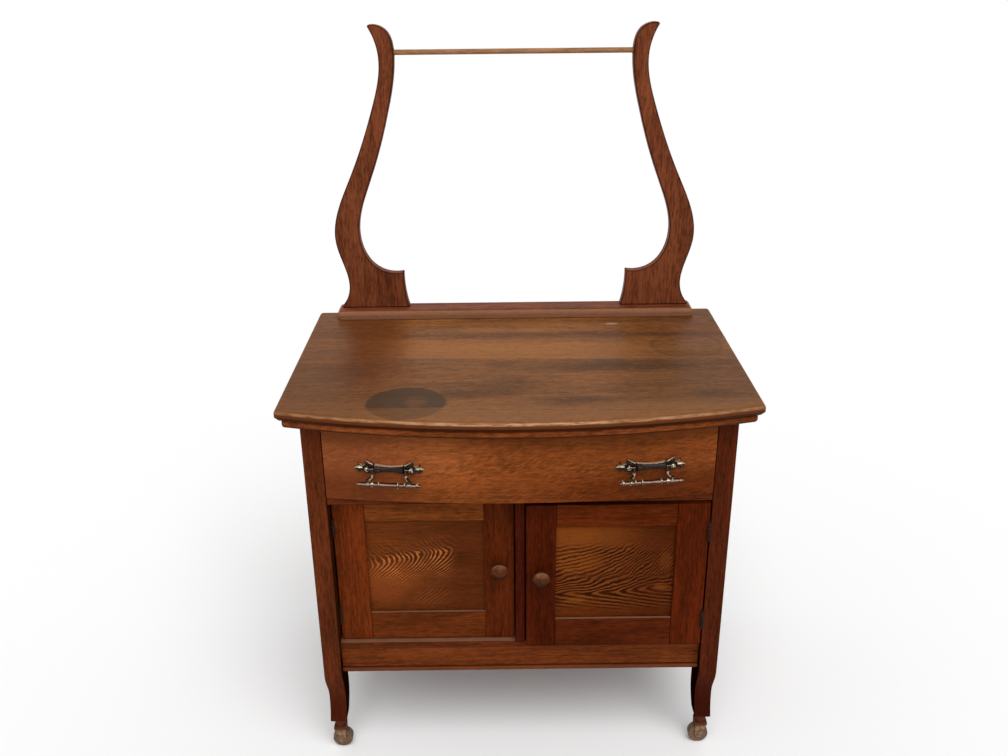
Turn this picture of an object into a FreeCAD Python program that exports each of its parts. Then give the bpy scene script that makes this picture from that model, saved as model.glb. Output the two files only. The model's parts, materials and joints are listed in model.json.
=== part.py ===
# Oak washstand with a bowed drawer, two panelled doors, harp uprights with a towel rod, and casters.
import FreeCAD, Part
import math
import os
import Sketcher
from FreeCAD import Placement, Rotation, Vector

# Driving dimensions in millimetres, one sheet cell each
DIMENSIONS = {
    # top
    "top_width": 813, "top_depth": 489, "top_bow": 56, "top_thick": 20, "top_height": 752,
    "top_corner_radius": 8, "top_round": 7, "top_undercut": 7,
    "mould_thick": 15.5, "mould_setback": 10, "mould_round": 6,
    # case
    "side_overhang": 34.5, "front_overhang": 32, "back_overhang": 10,
    "post_width": 34, "post_depth": 50, "back_post_depth": 40,
    "foot_height": 67, "knee_height": 182, "ankle_height": 128,
    "ankle_inset": 5, "toe_inset": 3, "foot_depth": 34, "foot_swell": 3, "foot_round": 4,
    "rail_thick": 20, "rail_recess": 4, "panel_thick": 8, "groove_depth": 8,
    "tenon_length": 12, "tenon_shoulder": 3,
    "side_top_rail": 52, "side_bottom_rail": 57, "back_top_rail": 45, "back_bottom_rail": 52,
    "apron_bottom": 180, "apron_thick": 22, "apron_setback": 3, "bead_height": 11,
    "board_top": 248, "board_thick": 14, "board_setback": 12, "board_round": 4,
    "drawer_opening": 148.5, "drawer_rail_thick": 15, "front_rail_setback": 2, "front_rail_depth": 48,
    "centre_stile_width": 18, "centre_stile_setback": 10, "centre_stile_depth": 52,
    "stop_width": 13, "stop_thick": 13.5,
    "runner_width": 28, "guide_height": 20,
    # doors
    "door_thick": 20, "door_hinge_gap": 3, "door_clearance": 2, "stop_clearance": 0.3,
    "door_left_recess": 23, "door_right_proud": 3,
    "hinge_stile": 57, "lock_stile": 53, "door_top_rail": 46, "door_bottom_rail": 59, "door_tenon": 25,
    "knob_diameter": 32, "knob_reach": 26, "knob_neck": 13, "knob_neck_reach": 8, "knob_rim_reach": 17,
    "knob_hollow": 12, "knob_under": 14.5, "knob_foot": 18, "knob_dowel": 10, "knob_dowel_length": 12,
    "knob_lift": 5.5,
    "hinge_length": 38, "hinge_margin": 56, "hinge_leaf": 1.2, "hinge_leaf_width": 18,
    "knuckle_diameter": 6, "hinge_pin": 3, "hinge_play": 0.5, "hinge_fit": 0.15,
    # drawer
    "drawer_gap": 1.5, "drawer_proud": 2, "drawer_bow": 26, "drawer_front_thick": 22, "drawer_lift": 2,
    "drawer_head_gap": 3, "drawer_side_relief": 2, "drawer_side_thick": 12, "drawer_side_drop": 10,
    "drawer_back_clear": 7, "drawer_slide_gap": 0.3, "drawer_lap": 10, "drawer_bottom_thick": 6,
    "drawer_bottom_rise": 9, "drawer_groove": 6,
    # pulls
    "pull_inset": 114.5, "pull_spacing": 76, "pull_rise": 65, "pull_length": 120, "plate_thick": 3,
    "column_length": 48.6, "column_end": 16, "column_waist": 10.5, "plate_root": 12, "plate_root_at": 28,
    "ear_rise": 15, "ear_at": 41, "ear_foot_at": 42.5, "ear_hollow": 16, "ear_ridge": 4.4,
    "ear_ridge_tip": 1, "lobe_drop": 9.5, "lobe_at": 38, "plate_neck": 9, "plate_neck_at": 46,
    "fleur_rise": 10, "fleur_drop": 8.5, "fleur_at": 52.5, "fleur_hollow": 9, "fleur_bead": 10.6,
    "fleur_bead_tip": 0.8,
    "bolt_diameter": 4.5, "bolt_post": 7.2, "bolt_head": 8, "bolt_reach": 8.5, "bolt_dome": 2,
    "bail_pivot": 5.5, "bail_pin": 3, "bail_fit": 0.25, "bail_leg": 4.4, "bail_hook_inset": 3.6,
    "bail_neck": 8, "bail_drop": 24.5, "bail_stand": 15, "bail_bar": 109, "bail_bar_spacing": 71,
    "bail_bar_diameter": 6, "bail_bar_waist": 5, "bail_bar_swell": 7.5, "bail_swell_at": 14.5, "bail_ball": 9,
    "bail_foot": 7.5, "bail_foot_height": 8, "bail_ring_width": 2.4, "bail_ring_edge": 0.6,
    "bail_ring": 11, "bail_ring_at": 16.5, "bail_outer_ring": 10, "bail_outer_ring_at": 28,
    "bail_end_ring": 8.5, "bail_end_ring_at": 49.5, "bail_finial": 1.6,
    "nut_width": 11, "nut_thick": 4, "spotface": 16, "spotface_depth": 5,
    # harps and towel rod
    "base_rail_margin": 42.5, "base_rail_depth": 51, "base_rail_height": 18, "base_rail_round": 10,
    "base_rail_back": 3.5, "base_rail_housing": 2, "harp_back": 7, "harp_thick": 22, "harp_tenon": 12,
    "harp_tenon_thick": 10, "harp_height": 550, "harp_foot_margin": 8, "harp_foot_width": 140,
    "harp_foot_hollow": 3, "harp_waist_inset": 18.5, "harp_waist_rise": 46,
    "harp_belly_swell": 2.5, "harp_belly_rise": 137, "harp_belly_width": 50.5,
    "harp_arm_swell": 6.5, "harp_arm_width": 42,
    "harp_neck_inset": 86.5, "harp_neck_drop": 147, "harp_neck_width": 32,
    "harp_throat_inset": 103, "harp_throat_drop": 67, "harp_throat_width": 29,
    "harp_tip_inset": 84, "harp_tip_drop": 1.5, "harp_crest_inset": 96, "harp_crown_inset": 116,
    "harp_crown_drop": 7.5, "harp_ear_inset": 131, "harp_ear_rise": 74.5, "harp_bowl_inset": 67,
    "harp_bowl_rise": 95, "harp_shelf_inset": 94, "harp_shelf_rise": 76.5, "harp_shelf_dip": 2.5,
    "rod_diameter": 10, "rod_drop": 50, "rod_seat": 12,
    # casters
    "wheel_diameter": 38, "wheel_width": 18, "wheel_edge": 3, "caster_trail": 3.5, "axle_diameter": 5,
    "axle_fit": 0.3, "axle_head": 9, "axle_head_thick": 1.5, "horn_thick": 2.5, "horn_play": 1,
    "horn_crown_width": 23, "horn_crown_low": 44, "horn_crown_thick": 6, "horn_eye": 14, "horn_neck": 20,
    "stem_diameter": 8, "stem_fit": 0.2, "stem_length": 36, "socket_wall": 2, "socket_flange": 26,
    "socket_flange_thick": 3, "socket_gap": 0.3,
}


class Size:
    """A length in millimetres that keeps the sheet expression it comes from."""

    def __init__(self, value, text):
        self.value = value
        self.text = text

    @staticmethod
    def of(item):
        return item if isinstance(item, Size) else Size(float(item), repr(float(item)))

    def __add__(self, other):
        other = Size.of(other)
        return Size(self.value + other.value, f"({self.text} + {other.text})")

    def __sub__(self, other):
        other = Size.of(other)
        return Size(self.value - other.value, f"({self.text} - {other.text})")

    def __mul__(self, other):
        other = Size.of(other)
        return Size(self.value * other.value, f"({self.text} * {other.text})")

    def __truediv__(self, other):
        other = Size.of(other)
        return Size(self.value / other.value, f"({self.text} / {other.text})")

    def __neg__(self):
        return Size(0.0, "0") - self

    def root(self):
        return Size(math.sqrt(self.value), f"sqrt({self.text})")


def bow_radius(half_chord, rise):
    """Radius of the arc that rises by rise over half a chord."""
    return (half_chord * half_chord + rise * rise) / (rise * 2)


def ordered(a, b):
    """Two sizes, the lower one first."""
    return (a, b) if a.value < b.value else (b, a)


doc = FreeCAD.newDocument("washstand")
sheet = doc.addObject("Spreadsheet::Sheet", "sizes")
for row, (alias, number) in enumerate(DIMENSIONS.items(), start=1):
    sheet.set(f"A{row}", alias)
    sheet.set(f"B{row}", str(number))
    sheet.setAlias(f"B{row}", alias)
doc.recompute()


class Dimensions:
    """The sheet's cells as sizes, one attribute for each alias."""

    def __init__(self):
        for alias in DIMENSIONS:
            setattr(self, alias, Size(float(sheet.get(alias)), f"sizes.{alias}"))


d = Dimensions()
ZERO = Size(0.0, "0")
TURN_LEFT = 1
TURN_RIGHT = -1
pieces = {}


def keep(node, thing):
    """Names a finished sub-part."""
    thing.Label = node
    pieces[node] = thing
    return thing


def place(thing, x=ZERO, y=ZERO, z=ZERO):
    for axis, size in (("x", x), ("y", y), ("z", z)):
        thing.setExpression(f"Placement.Base.{axis}", size.text)
    return thing


def block(name, x, y, z):
    """A box between two sizes on each axis."""
    box = doc.addObject("Part::Box", name)
    for side, span in (("Length", x), ("Width", y), ("Height", z)):
        low, high = ordered(*span)
        box.setExpression(side, (high - low).text)
    return place(box, ordered(*x)[0], ordered(*y)[0], ordered(*z)[0])


ALONG = {"x": Rotation(Vector(0, 1, 0), 90), "y": Rotation(Vector(1, 0, 0), -90), "z": Rotation()}


def rod(name, diameter, length, x, y, z, along="z"):
    """A cylinder that starts at a point and runs along an axis."""
    cylinder = doc.addObject("Part::Cylinder", name)
    cylinder.setExpression("Radius", (diameter / 2).text)
    cylinder.setExpression("Height", length.text)
    cylinder.Placement = Placement(Vector(), ALONG[along])
    return place(cylinder, x, y, z)


def cut(name, base, *tools):
    for number, tool in enumerate(tools):
        result = doc.addObject("Part::Cut", f"{name}_cut{number}")
        result.Base = base
        result.Tool = tool
        base = result
    return base


def fuse(name, *shapes):
    result = doc.addObject("Part::MultiFuse", f"{name}_fuse")
    result.Shapes = list(shapes)
    result.Refine = True
    return result


def group(name, *solids):
    """Separate solids that share one node."""
    result = doc.addObject("Part::Compound", f"{name}_group")
    result.Links = list(solids)
    return result


def mirror(name, source):
    """The same piece on the other side of the middle plane."""
    result = doc.addObject("Part::Mirroring", f"{name}_mirror")
    result.Source = source
    result.Normal = Vector(1, 0, 0)
    return result


def point(corner):
    return Vector(corner[0].value, corner[1].value, 0)


def arc_between(start, end, radius, turn):
    """Arc of under a half circle, drawn counterclockwise as sketches keep it."""
    chord = end - start
    half = chord.Length / 2
    left = Vector(-chord.y, chord.x, 0).normalize()
    rise = math.sqrt(max(radius * radius - half * half, 0.0))
    centre = (start + end) / 2 + left * (rise * turn)
    angles = [math.atan2(p.y - centre.y, p.x - centre.x) for p in (start, end)]
    if turn == TURN_RIGHT:
        angles.reverse()
    return Part.ArcOfCircle(Part.Circle(centre, Vector(0, 0, 1), radius), *angles)


def draw(sketch, corners):
    """A closed outline. A corner is (x, y), or (x, y, radius, turn) where an arc leaves it."""
    ends = []
    for number, corner in enumerate(corners):
        start = point(corner)
        end = point(corners[(number + 1) % len(corners)])
        if len(corner) == 2:
            sketch.addGeometry(Part.LineSegment(start, end))
            ends.append((1, 2))
        else:
            sketch.addGeometry(arc_between(start, end, corner[2].value, corner[3]))
            ends.append((1, 2) if corner[3] == TURN_LEFT else (2, 1))
    for number, corner in enumerate(corners):
        follower = (number + 1) % len(corners)
        sketch.addConstraint(Sketcher.Constraint("Coincident", number, ends[number][1],
                                                 follower, ends[follower][0]))
        for kind, size in (("DistanceX", corner[0]), ("DistanceY", corner[1])):
            first_end = ends[number][0]
            index = sketch.addConstraint(Sketcher.Constraint(kind, -1, 1, number, first_end, size.value))
            sketch.setExpression(f"Constraints[{index}]", size.text)
        if len(corner) == 4:
            index = sketch.addConstraint(Sketcher.Constraint("Radius", number, corner[2].value))
            sketch.setExpression(f"Constraints[{index}]", corner[2].text)


def sketched_body(name, plane, corners):
    body = doc.addObject("PartDesign::Body", name)
    sketch = body.newObject("Sketcher::SketchObject", f"{name}_outline")
    support = next(f for f in body.Origin.OriginFeatures if f.Role == f"{plane}_Plane")
    sketch.AttachmentSupport = (support, [""])
    sketch.MapMode = "FlatFace"
    draw(sketch, corners)
    return body, sketch


def pad(name, plane, corners, start, length):
    """An outline on a plane, thickened from start by length along the plane's axis."""
    body, sketch = sketched_body(name, plane, corners)
    feature = body.newObject("PartDesign::Pad", f"{name}_pad")
    feature.Profile = sketch
    feature.setExpression("Length", length.text)
    if plane == "XY":
        place(body, z=start)
    elif plane == "XZ":
        place(body, y=start + length)
    else:
        place(body, x=start)
    return body


def turned(name, corners):
    """A turned piece about its own Z axis, from corners of radius and height."""
    body, sketch = sketched_body(name, "XZ", corners)
    feature = body.newObject("PartDesign::Revolution", f"{name}_turning")
    feature.Profile = sketch
    feature.ReferenceAxis = (sketch, ["V_Axis"])
    feature.Angle = 360
    return body


def soften(body, kind, size, pick):
    """A fillet or chamfer on the edges of the body's tip that pick chooses."""
    base = body.Tip
    doc.recompute()
    edges = [f"Edge{number}" for number, edge in enumerate(base.Shape.Edges, start=1) if pick(edge)]
    feature = body.newObject(f"PartDesign::{kind}", f"{body.Name}_{kind}")
    feature.Base = (base, edges)
    feature.setExpression("Radius" if kind == "Fillet" else "Size", size.text)
    return body


# Lengths under NEAR count as none, and places more than APART from each other as different
NEAR = 0.01
APART = 1.0


def upright(edge):
    """Whether an edge runs along Z."""
    box = edge.BoundBox
    return box.ZLength > APART and box.XLength < NEAR and box.YLength < NEAR


def level(height):
    """Picks the edges that lie at one height."""
    return lambda edge: abs(edge.BoundBox.ZMin - height) < NEAR and abs(edge.BoundBox.ZMax - height) < NEAR


def before(edge, y):
    """Whether an edge reaches forward of a depth."""
    return edge.BoundBox.YMin < y.value - APART


def crossrail(name, along, x, y, z, tenon):
    """A rail with a tenon on each end, and the two tenons as mortise tools."""
    spans = {"x": ordered(*x), "y": ordered(*y), "z": ordered(*z)}
    rail_body = block(f"{name}_body", *spans.values())
    tenons = []
    for number, end in enumerate(spans[along]):
        cheek = {axis: (low + d.tenon_shoulder, high - d.tenon_shoulder)
                 for axis, (low, high) in spans.items()}
        cheek[along] = (end - tenon, end) if number == 0 else (end, end + tenon)
        tenons.append(block(f"{name}_tenon{number}", *cheek.values()))
    return fuse(name, rail_body, *tenons), tenons


# Main planes of the case, with the origin under the middle of the whole
case_half = d.top_width / 2 - d.side_overhang
inner = case_half - d.post_width
top_back = (d.top_depth + d.top_bow) / 2
nose = -top_back
top_corner = top_back - d.top_depth
front = top_corner + d.front_overhang
back = top_back - d.back_overhang
top_under = d.top_height - d.top_thick
mould_low = top_under - d.mould_thick
front_post_back = front + d.post_depth
back_post_front = back - d.back_post_depth
drawer_rail_top = mould_low - d.drawer_opening
drawer_rail_low = drawer_rail_top - d.drawer_rail_thick
side_out = case_half - d.rail_recess
side_in = side_out - d.rail_thick
toe_back = front + d.toe_inset + d.foot_depth
foot_edge = d.foot_height + d.foot_round


def top_parts():
    """The bowed top and the moulding under its edge."""
    half = d.top_width / 2
    radius = bow_radius(half, d.top_bow)
    board = pad("top_board", "XY", [(-half, top_back), (-half, top_corner, radius, TURN_LEFT),
                                    (half, top_corner), (half, top_back)], top_under, d.top_thick)
    soften(board, "Fillet", d.top_corner_radius, upright)
    soften(board, "Fillet", d.top_round, level(d.top_thick.value))
    soften(board, "Chamfer", d.top_undercut, level(0.0))
    end = half - d.mould_setback
    inner_radius = radius - d.mould_setback
    centre = nose + radius
    end_front = centre - (inner_radius * inner_radius - end * end).root()
    strip = pad("moulding_front", "XY", [(-end, front), (-end, end_front, inner_radius, TURN_LEFT),
                                         (end, end_front), (end, front)], mould_low, d.mould_thick)
    soften(strip, "Fillet", d.mould_round, lambda edge: upright(edge) and before(edge, front))
    soften(strip, "Fillet", d.mould_round, lambda edge: edge.BoundBox.ZLength < NEAR and before(edge, front))
    keep("moulding_front", strip)

    lip = end - d.mould_round
    rise = mould_low + d.mould_round
    fall = top_under - d.mould_round
    side = pad("moulding_return", "XZ", [(case_half, mould_low), (lip, mould_low, d.mould_round, TURN_LEFT),
                                         (end, rise), (end, fall, d.mould_round, TURN_LEFT),
                                         (lip, top_under), (case_half, top_under)], front, back - front)
    keep("moulding_returns", group("moulding_returns", side, mirror("moulding_return", side)))
    return board


def cabriole(edge):
    """Corners of a sawn leg's S-curve, from the knee down to the toe, on the edge that faces out."""
    half_fall = (d.knee_height - d.ankle_height) / 2
    sway = bow_radius(half_fall, d.ankle_inset / 2)
    flare = bow_radius(d.ankle_height - foot_edge, d.ankle_inset - d.toe_inset)
    return [(edge, top_under), (edge, d.knee_height, sway, TURN_LEFT),
            (edge + d.ankle_inset / 2, d.knee_height - half_fall, sway, TURN_RIGHT),
            (edge + d.ankle_inset, d.ankle_height, flare, TURN_RIGHT),
            (edge + d.toe_inset, foot_edge, d.foot_round, TURN_LEFT),
            (edge + d.toe_inset + d.foot_round, d.foot_height)]


def front_post_blank():
    """A left front post sawn to shape on two faces."""
    swell = bow_radius((d.apron_bottom - foot_edge) / 2, d.foot_swell)
    face = pad("post_face", "XZ", cabriole(-case_half) + [
        (-inner - d.foot_round, d.foot_height, d.foot_round, TURN_LEFT),
        (-inner, foot_edge, swell, TURN_LEFT), (-inner, d.apron_bottom), (-inner, top_under)],
        front, d.post_depth)
    heel = bow_radius(d.knee_height - foot_edge, d.post_depth - d.toe_inset - d.foot_depth)
    side = pad("post_side", "YZ", cabriole(front) + [
        (toe_back - d.foot_round, d.foot_height, d.foot_round, TURN_LEFT),
        (toe_back, foot_edge, heel, TURN_LEFT), (front_post_back, d.knee_height),
        (front_post_back, top_under)], -case_half, d.post_width + d.foot_swell)
    blank = doc.addObject("Part::Common", "post_front_blank")
    blank.Base = face
    blank.Tool = side
    return blank


# Middle of each foot's lower face, on the left side
front_foot = ((d.toe_inset - case_half - inner) / 2, front + d.toe_inset + d.foot_depth / 2)
back_foot = ((-case_half - inner) / 2, (back + back_post_front) / 2)
socket_bore = d.stem_diameter + d.stem_fit * 2
socket_tube = socket_bore + d.socket_wall * 2


def case_parts():
    """Posts, side frames, back frame and the cross rails, tenoned together on the left and mirrored."""
    top_rail_low = top_under - d.side_top_rail
    bottom_rail_high = d.apron_bottom + d.side_bottom_rail
    rail_x = (-side_out, -side_in)
    rail_y = (front_post_back, back_post_front)
    top_rail, top_tenons = crossrail("side_top_rail", "y", rail_x, rail_y,
                                     (top_rail_low, top_under), d.tenon_length)
    low_rail, low_tenons = crossrail("side_bottom_rail", "y", rail_x, rail_y,
                                     (d.apron_bottom, bottom_rail_high), d.tenon_length)
    margin = (d.rail_thick - d.panel_thick) / 2
    panel = block("side_panel", (-side_out + margin, -side_in - margin),
                  (front_post_back - d.groove_depth, back_post_front + d.groove_depth),
                  (bottom_rail_high - d.groove_depth, top_rail_low + d.groove_depth))
    keep("side_panel_left", panel)
    keep("side_panel_right", mirror("side_panel", panel))
    for node, rail_piece in (("side_top_rails", top_rail), ("side_bottom_rails", low_rail)):
        left = cut(node, rail_piece, panel)
        keep(node, group(node, left, mirror(node, left)))

    back_y = (back - d.rail_recess - d.rail_thick, back - d.rail_recess)
    span = (-inner, inner)
    back_high = top_under - d.back_top_rail
    back_low = d.apron_bottom + d.back_bottom_rail
    upper, upper_tenons = crossrail("back_top_rail", "x", span, back_y,
                                    (back_high, top_under), d.tenon_length)
    lower, lower_tenons = crossrail("back_bottom_rail", "x", span, back_y,
                                    (d.apron_bottom, back_low), d.tenon_length)
    back_panel = block("back_panel", (-inner - d.groove_depth, inner + d.groove_depth),
                       (back_y[0] + margin, back_y[1] - margin),
                       (back_low - d.groove_depth, back_high + d.groove_depth))
    keep("back_panel", back_panel)
    keep("back_rails", group("back_rails", cut("back_top_rail", upper, back_panel),
                             cut("back_bottom_rail", lower, back_panel)))

    rail_depth = (front + d.front_rail_setback, front + d.front_rail_setback + d.front_rail_depth)
    head, head_tenons = crossrail("front_top_rail", "x", span, rail_depth,
                                  (mould_low, top_under), d.tenon_length)
    keep("front_top_rail", head)
    divider, divider_tenons = crossrail("drawer_rail", "x", span, rail_depth,
                                        (drawer_rail_low, drawer_rail_top), d.tenon_length)
    apron_tenons = apron_part()
    stile_face = front + d.centre_stile_setback
    stile, stile_tenons = crossrail("centre_stile", "z",
                                    (-d.centre_stile_width / 2, d.centre_stile_width / 2),
                                    (stile_face, stile_face + d.centre_stile_depth),
                                    (d.board_top, drawer_rail_low), d.groove_depth)
    keep("centre_stile", stile)
    keep("drawer_rail", cut("drawer_rail", divider, stile_tenons[1]))
    keep("bottom_board", cut("bottom_board", bottom_board_blank(), stile_tenons[0]))

    socket_holes = [rod(f"socket_hole{number}", socket_tube, d.stem_length, x, y, d.foot_height)
                    for number, (x, y) in enumerate((front_foot, back_foot))]
    post = cut("post_front", front_post_blank(), top_tenons[0], low_tenons[0], panel, head_tenons[0],
               divider_tenons[0], apron_tenons[0], socket_holes[0])
    keep("post_front_left", post)
    keep("post_front_right", mirror("post_front", post))
    back_blank = block("post_back_blank", (-case_half, -inner), (back_post_front, back),
                       (d.foot_height, top_under))
    post = cut("post_back", back_blank, top_tenons[1], low_tenons[1], panel, upper_tenons[0], lower_tenons[0],
               back_panel, socket_holes[1])
    keep("post_back_left", post)
    keep("post_back_right", mirror("post_back", post))


def apron_part():
    """The rail under the bottom board, with a round bead along its lower edge."""
    face = front + d.board_setback + d.apron_setback
    rear = face + d.apron_thick
    bead = bow_radius(d.bead_height / 2, d.apron_setback)
    board_low = d.board_top - d.board_thick
    profile = [(rear, d.apron_bottom), (rear, board_low), (face, board_low),
               (face, d.apron_bottom + d.bead_height, bead, TURN_LEFT), (face, d.apron_bottom)]
    body = pad("apron_body", "YZ", profile, -inner, inner * 2)
    tenons = []
    for number, span in enumerate(((-inner - d.tenon_length, -inner), (inner, inner + d.tenon_length))):
        tenons.append(block(f"apron_tenon{number}", span, (face + d.tenon_shoulder, rear - d.tenon_shoulder),
                            (d.apron_bottom + d.bead_height, board_low - d.tenon_shoulder)))
    keep("apron_rail", fuse("apron_rail", body, *tenons))
    return tenons


def bottom_board_blank():
    """The cupboard floor, notched round the four posts, with a rounded front edge."""
    lip = front + d.board_setback
    rear = back - d.rail_recess - d.rail_thick
    right = [(inner, lip), (inner, front_post_back), (side_in, front_post_back), (side_in, back_post_front),
             (inner, back_post_front), (inner, rear)]
    left = [(-x, y) for x, y in reversed(right)]
    board = pad("bottom_board", "XY", right + left, d.board_top - d.board_thick, d.board_thick)
    return soften(board, "Fillet", d.board_round,
                  lambda edge: abs(edge.BoundBox.YMax - lip.value) < NEAR and edge.BoundBox.ZLength < NEAR)


def stops_and_runners():
    """Strips that the doors close against, and the runners and guides that carry the drawer."""
    edge = d.centre_stile_width / 2
    heights = (d.board_top, drawer_rail_low)
    left_stop = front + d.door_left_recess + d.door_thick + d.stop_clearance
    right_stop = front - d.door_right_proud + d.door_thick + d.stop_clearance
    left = block("stop_left", (-edge - d.stop_width, -edge), (left_stop, left_stop + d.stop_thick), heights)
    right = block("stop_right", (edge, edge + d.stop_width), (right_stop, right_stop + d.stop_thick), heights)
    keep("door_stops", group("door_stops", left, right))
    rear_of_rail = front + d.front_rail_setback + d.front_rail_depth
    lap = (rear_of_rail, back_post_front)
    bed = block("runner_bed", (-side_in, d.runner_width - side_in), lap, (drawer_rail_low, drawer_rail_top))
    guide = block("runner_guide", (-side_in, d.drawer_gap - inner), lap,
                  (drawer_rail_top, drawer_rail_top + d.guide_height))
    runner = fuse("drawer_runner", bed, guide)
    keep("drawer_runners", group("drawer_runners", runner, mirror("drawer_runner", runner)))


def knob(name, x, y, z):
    """A turned mushroom knob whose dowel goes into the stile behind it."""
    dowel = d.knob_dowel / 2
    rim = d.knob_diameter / 2
    dome = bow_radius(rim, d.knob_reach - d.knob_rim_reach)
    body = turned(name, [(ZERO, -d.knob_dowel_length), (dowel, -d.knob_dowel_length), (dowel, ZERO),
                         (d.knob_foot / 2, ZERO, d.knob_hollow, TURN_RIGHT),
                         (d.knob_neck / 2, d.knob_neck_reach, d.knob_under, TURN_RIGHT),
                         (rim, d.knob_rim_reach, dome, TURN_LEFT), (ZERO, d.knob_reach)])
    body.Placement = Placement(Vector(), Rotation(Vector(1, 0, 0), 90))
    hole = rod(f"{name}_hole", d.knob_dowel, d.knob_dowel_length, x, y, z, "y")
    return place(body, x, y, z), hole


knuckle = d.knuckle_diameter / 2
pin_offset = knuckle + d.hinge_play


def hinge(name, side, face, middle):
    """A butt hinge: post leaf, door leaf with its mortise, and pin, for a door face and a height."""
    post_x = inner * side
    edge_x = (inner - d.door_hinge_gap) * side
    pin_x = (inner - pin_offset) * side
    pin_y = face - pin_offset
    low = middle - d.hinge_length / 2
    third = d.hinge_length / 3
    joint = d.hinge_play / 2
    plate = (face, face + d.hinge_leaf_width)
    tab = (pin_y, face)
    bore = d.hinge_pin + d.hinge_fit * 2
    post_leaf_x = (post_x, post_x - d.hinge_leaf * side)
    bits = [block(f"{name}_plate", post_leaf_x, plate, (low, low + d.hinge_length))]
    for number, start in enumerate((low, low + third * 2)):
        span = (start, start + third - joint)
        bits.append(block(f"{name}_tab{number}", post_leaf_x, tab, span))
        bits.append(rod(f"{name}_barrel{number}", d.knuckle_diameter, third - joint, pin_x, pin_y, start))
    drill = rod(f"{name}_drill", bore, d.hinge_length, pin_x, pin_y, low)
    post_leaf = cut(f"{name}_post_leaf", fuse(f"{name}_post", *bits), drill)
    leaf_x = (edge_x, edge_x - d.hinge_leaf * side)
    mortise = block(f"{name}_leaf", leaf_x, plate, (low, low + d.hinge_length))
    middle_span = (low + third, low + third * 2 - joint)
    door_leaf = cut(f"{name}_door_leaf", fuse(
        f"{name}_door", mortise, block(f"{name}_tongue", leaf_x, tab, middle_span),
        rod(f"{name}_knuckle", d.knuckle_diameter, third - joint, pin_x, pin_y, low + third)), drill)
    return post_leaf, door_leaf, mortise, rod(f"{name}_pin", d.hinge_pin, d.hinge_length, pin_x, pin_y, low)


def door(word, side, face):
    """A framed and panelled door with its knob and hinge leaves. Returns its post leaves and pins."""
    name = f"door_{word}"
    hinge_edge = (inner - d.door_hinge_gap) * side
    lock_edge = (d.centre_stile_width / 2 + d.door_clearance) * side
    hinge_sight = hinge_edge - d.hinge_stile * side
    lock_sight = lock_edge + d.lock_stile * side
    low = d.board_top + d.door_clearance
    high = drawer_rail_low - d.door_clearance
    low_sight = low + d.door_bottom_rail
    high_sight = high - d.door_top_rail
    thick = (face, face + d.door_thick)
    opening = ordered(lock_sight, hinge_sight)
    top_rail, top_tenons = crossrail(f"{name}_top_rail", "x", opening, thick,
                                     (high_sight, high), d.door_tenon)
    low_rail, low_tenons = crossrail(f"{name}_bottom_rail", "x", opening, thick,
                                     (low, low_sight), d.door_tenon)
    margin = (d.door_thick - d.panel_thick) / 2
    panel = block(f"{name}_panel", (opening[0] - d.groove_depth, opening[1] + d.groove_depth),
                  (face + margin, face + d.door_thick - margin),
                  (low_sight - d.groove_depth, high_sight + d.groove_depth))
    keep(f"{name}_panel", panel)
    keep(f"{name}_top_rail", cut(f"{name}_top_rail", top_rail, panel))
    keep(f"{name}_bottom_rail", cut(f"{name}_bottom_rail", low_rail, panel))
    hinges = [hinge(f"{name}_hinge{number}", side, face, height)
              for number, height in enumerate((low + d.hinge_margin, high - d.hinge_margin))]
    turned_knob, dowel_hole = knob(f"{name}_knob", (lock_edge + lock_sight) / 2, face,
                                   (low + high) / 2 + d.knob_lift)
    keep(f"{name}_knob", turned_knob)
    lock_tenon = 0 if lock_sight.value < hinge_sight.value else 1
    stile = block(f"{name}_lock_blank", (lock_edge, lock_sight), thick, (low, high))
    keep(f"{name}_lock_stile", cut(f"{name}_lock_stile", stile, top_tenons[lock_tenon],
                                   low_tenons[lock_tenon], panel, dowel_hole))
    stile = block(f"{name}_hinge_blank", (hinge_edge, hinge_sight), thick, (low, high))
    keep(f"{name}_hinge_stile", cut(f"{name}_hinge_stile", stile, top_tenons[1 - lock_tenon],
                                    low_tenons[1 - lock_tenon], panel, *[leaf[2] for leaf in hinges]))
    keep(f"{name}_hinge_leaves", group(f"{name}_hinge_leaves", *[leaf[1] for leaf in hinges]))
    return [leaf[0] for leaf in hinges], [leaf[3] for leaf in hinges]


def doors():
    left = door("left", -1, front + d.door_left_recess)
    right = door("right", 1, front - d.door_right_proud)
    keep("hinge_post_leaves", group("hinge_post_leaves", *left[0], *right[0]))
    keep("hinge_pins", group("hinge_pins", *left[1], *right[1]))


# Drawer planes
drawer_half = inner - d.drawer_gap
drawer_end = front - d.drawer_proud
drawer_back_face = drawer_end + d.drawer_front_thick
drawer_low = drawer_rail_top + d.drawer_lift
drawer_high = mould_low - d.drawer_head_gap
drawer_radius = bow_radius(drawer_half, d.drawer_bow)
pull_offset = drawer_half - d.pull_inset


def drawer_face(x):
    """Where the bowed face lies at a distance from the middle."""
    centre = drawer_end - d.drawer_bow + drawer_radius
    return centre - (drawer_radius * drawer_radius - x * x).root()


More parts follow.
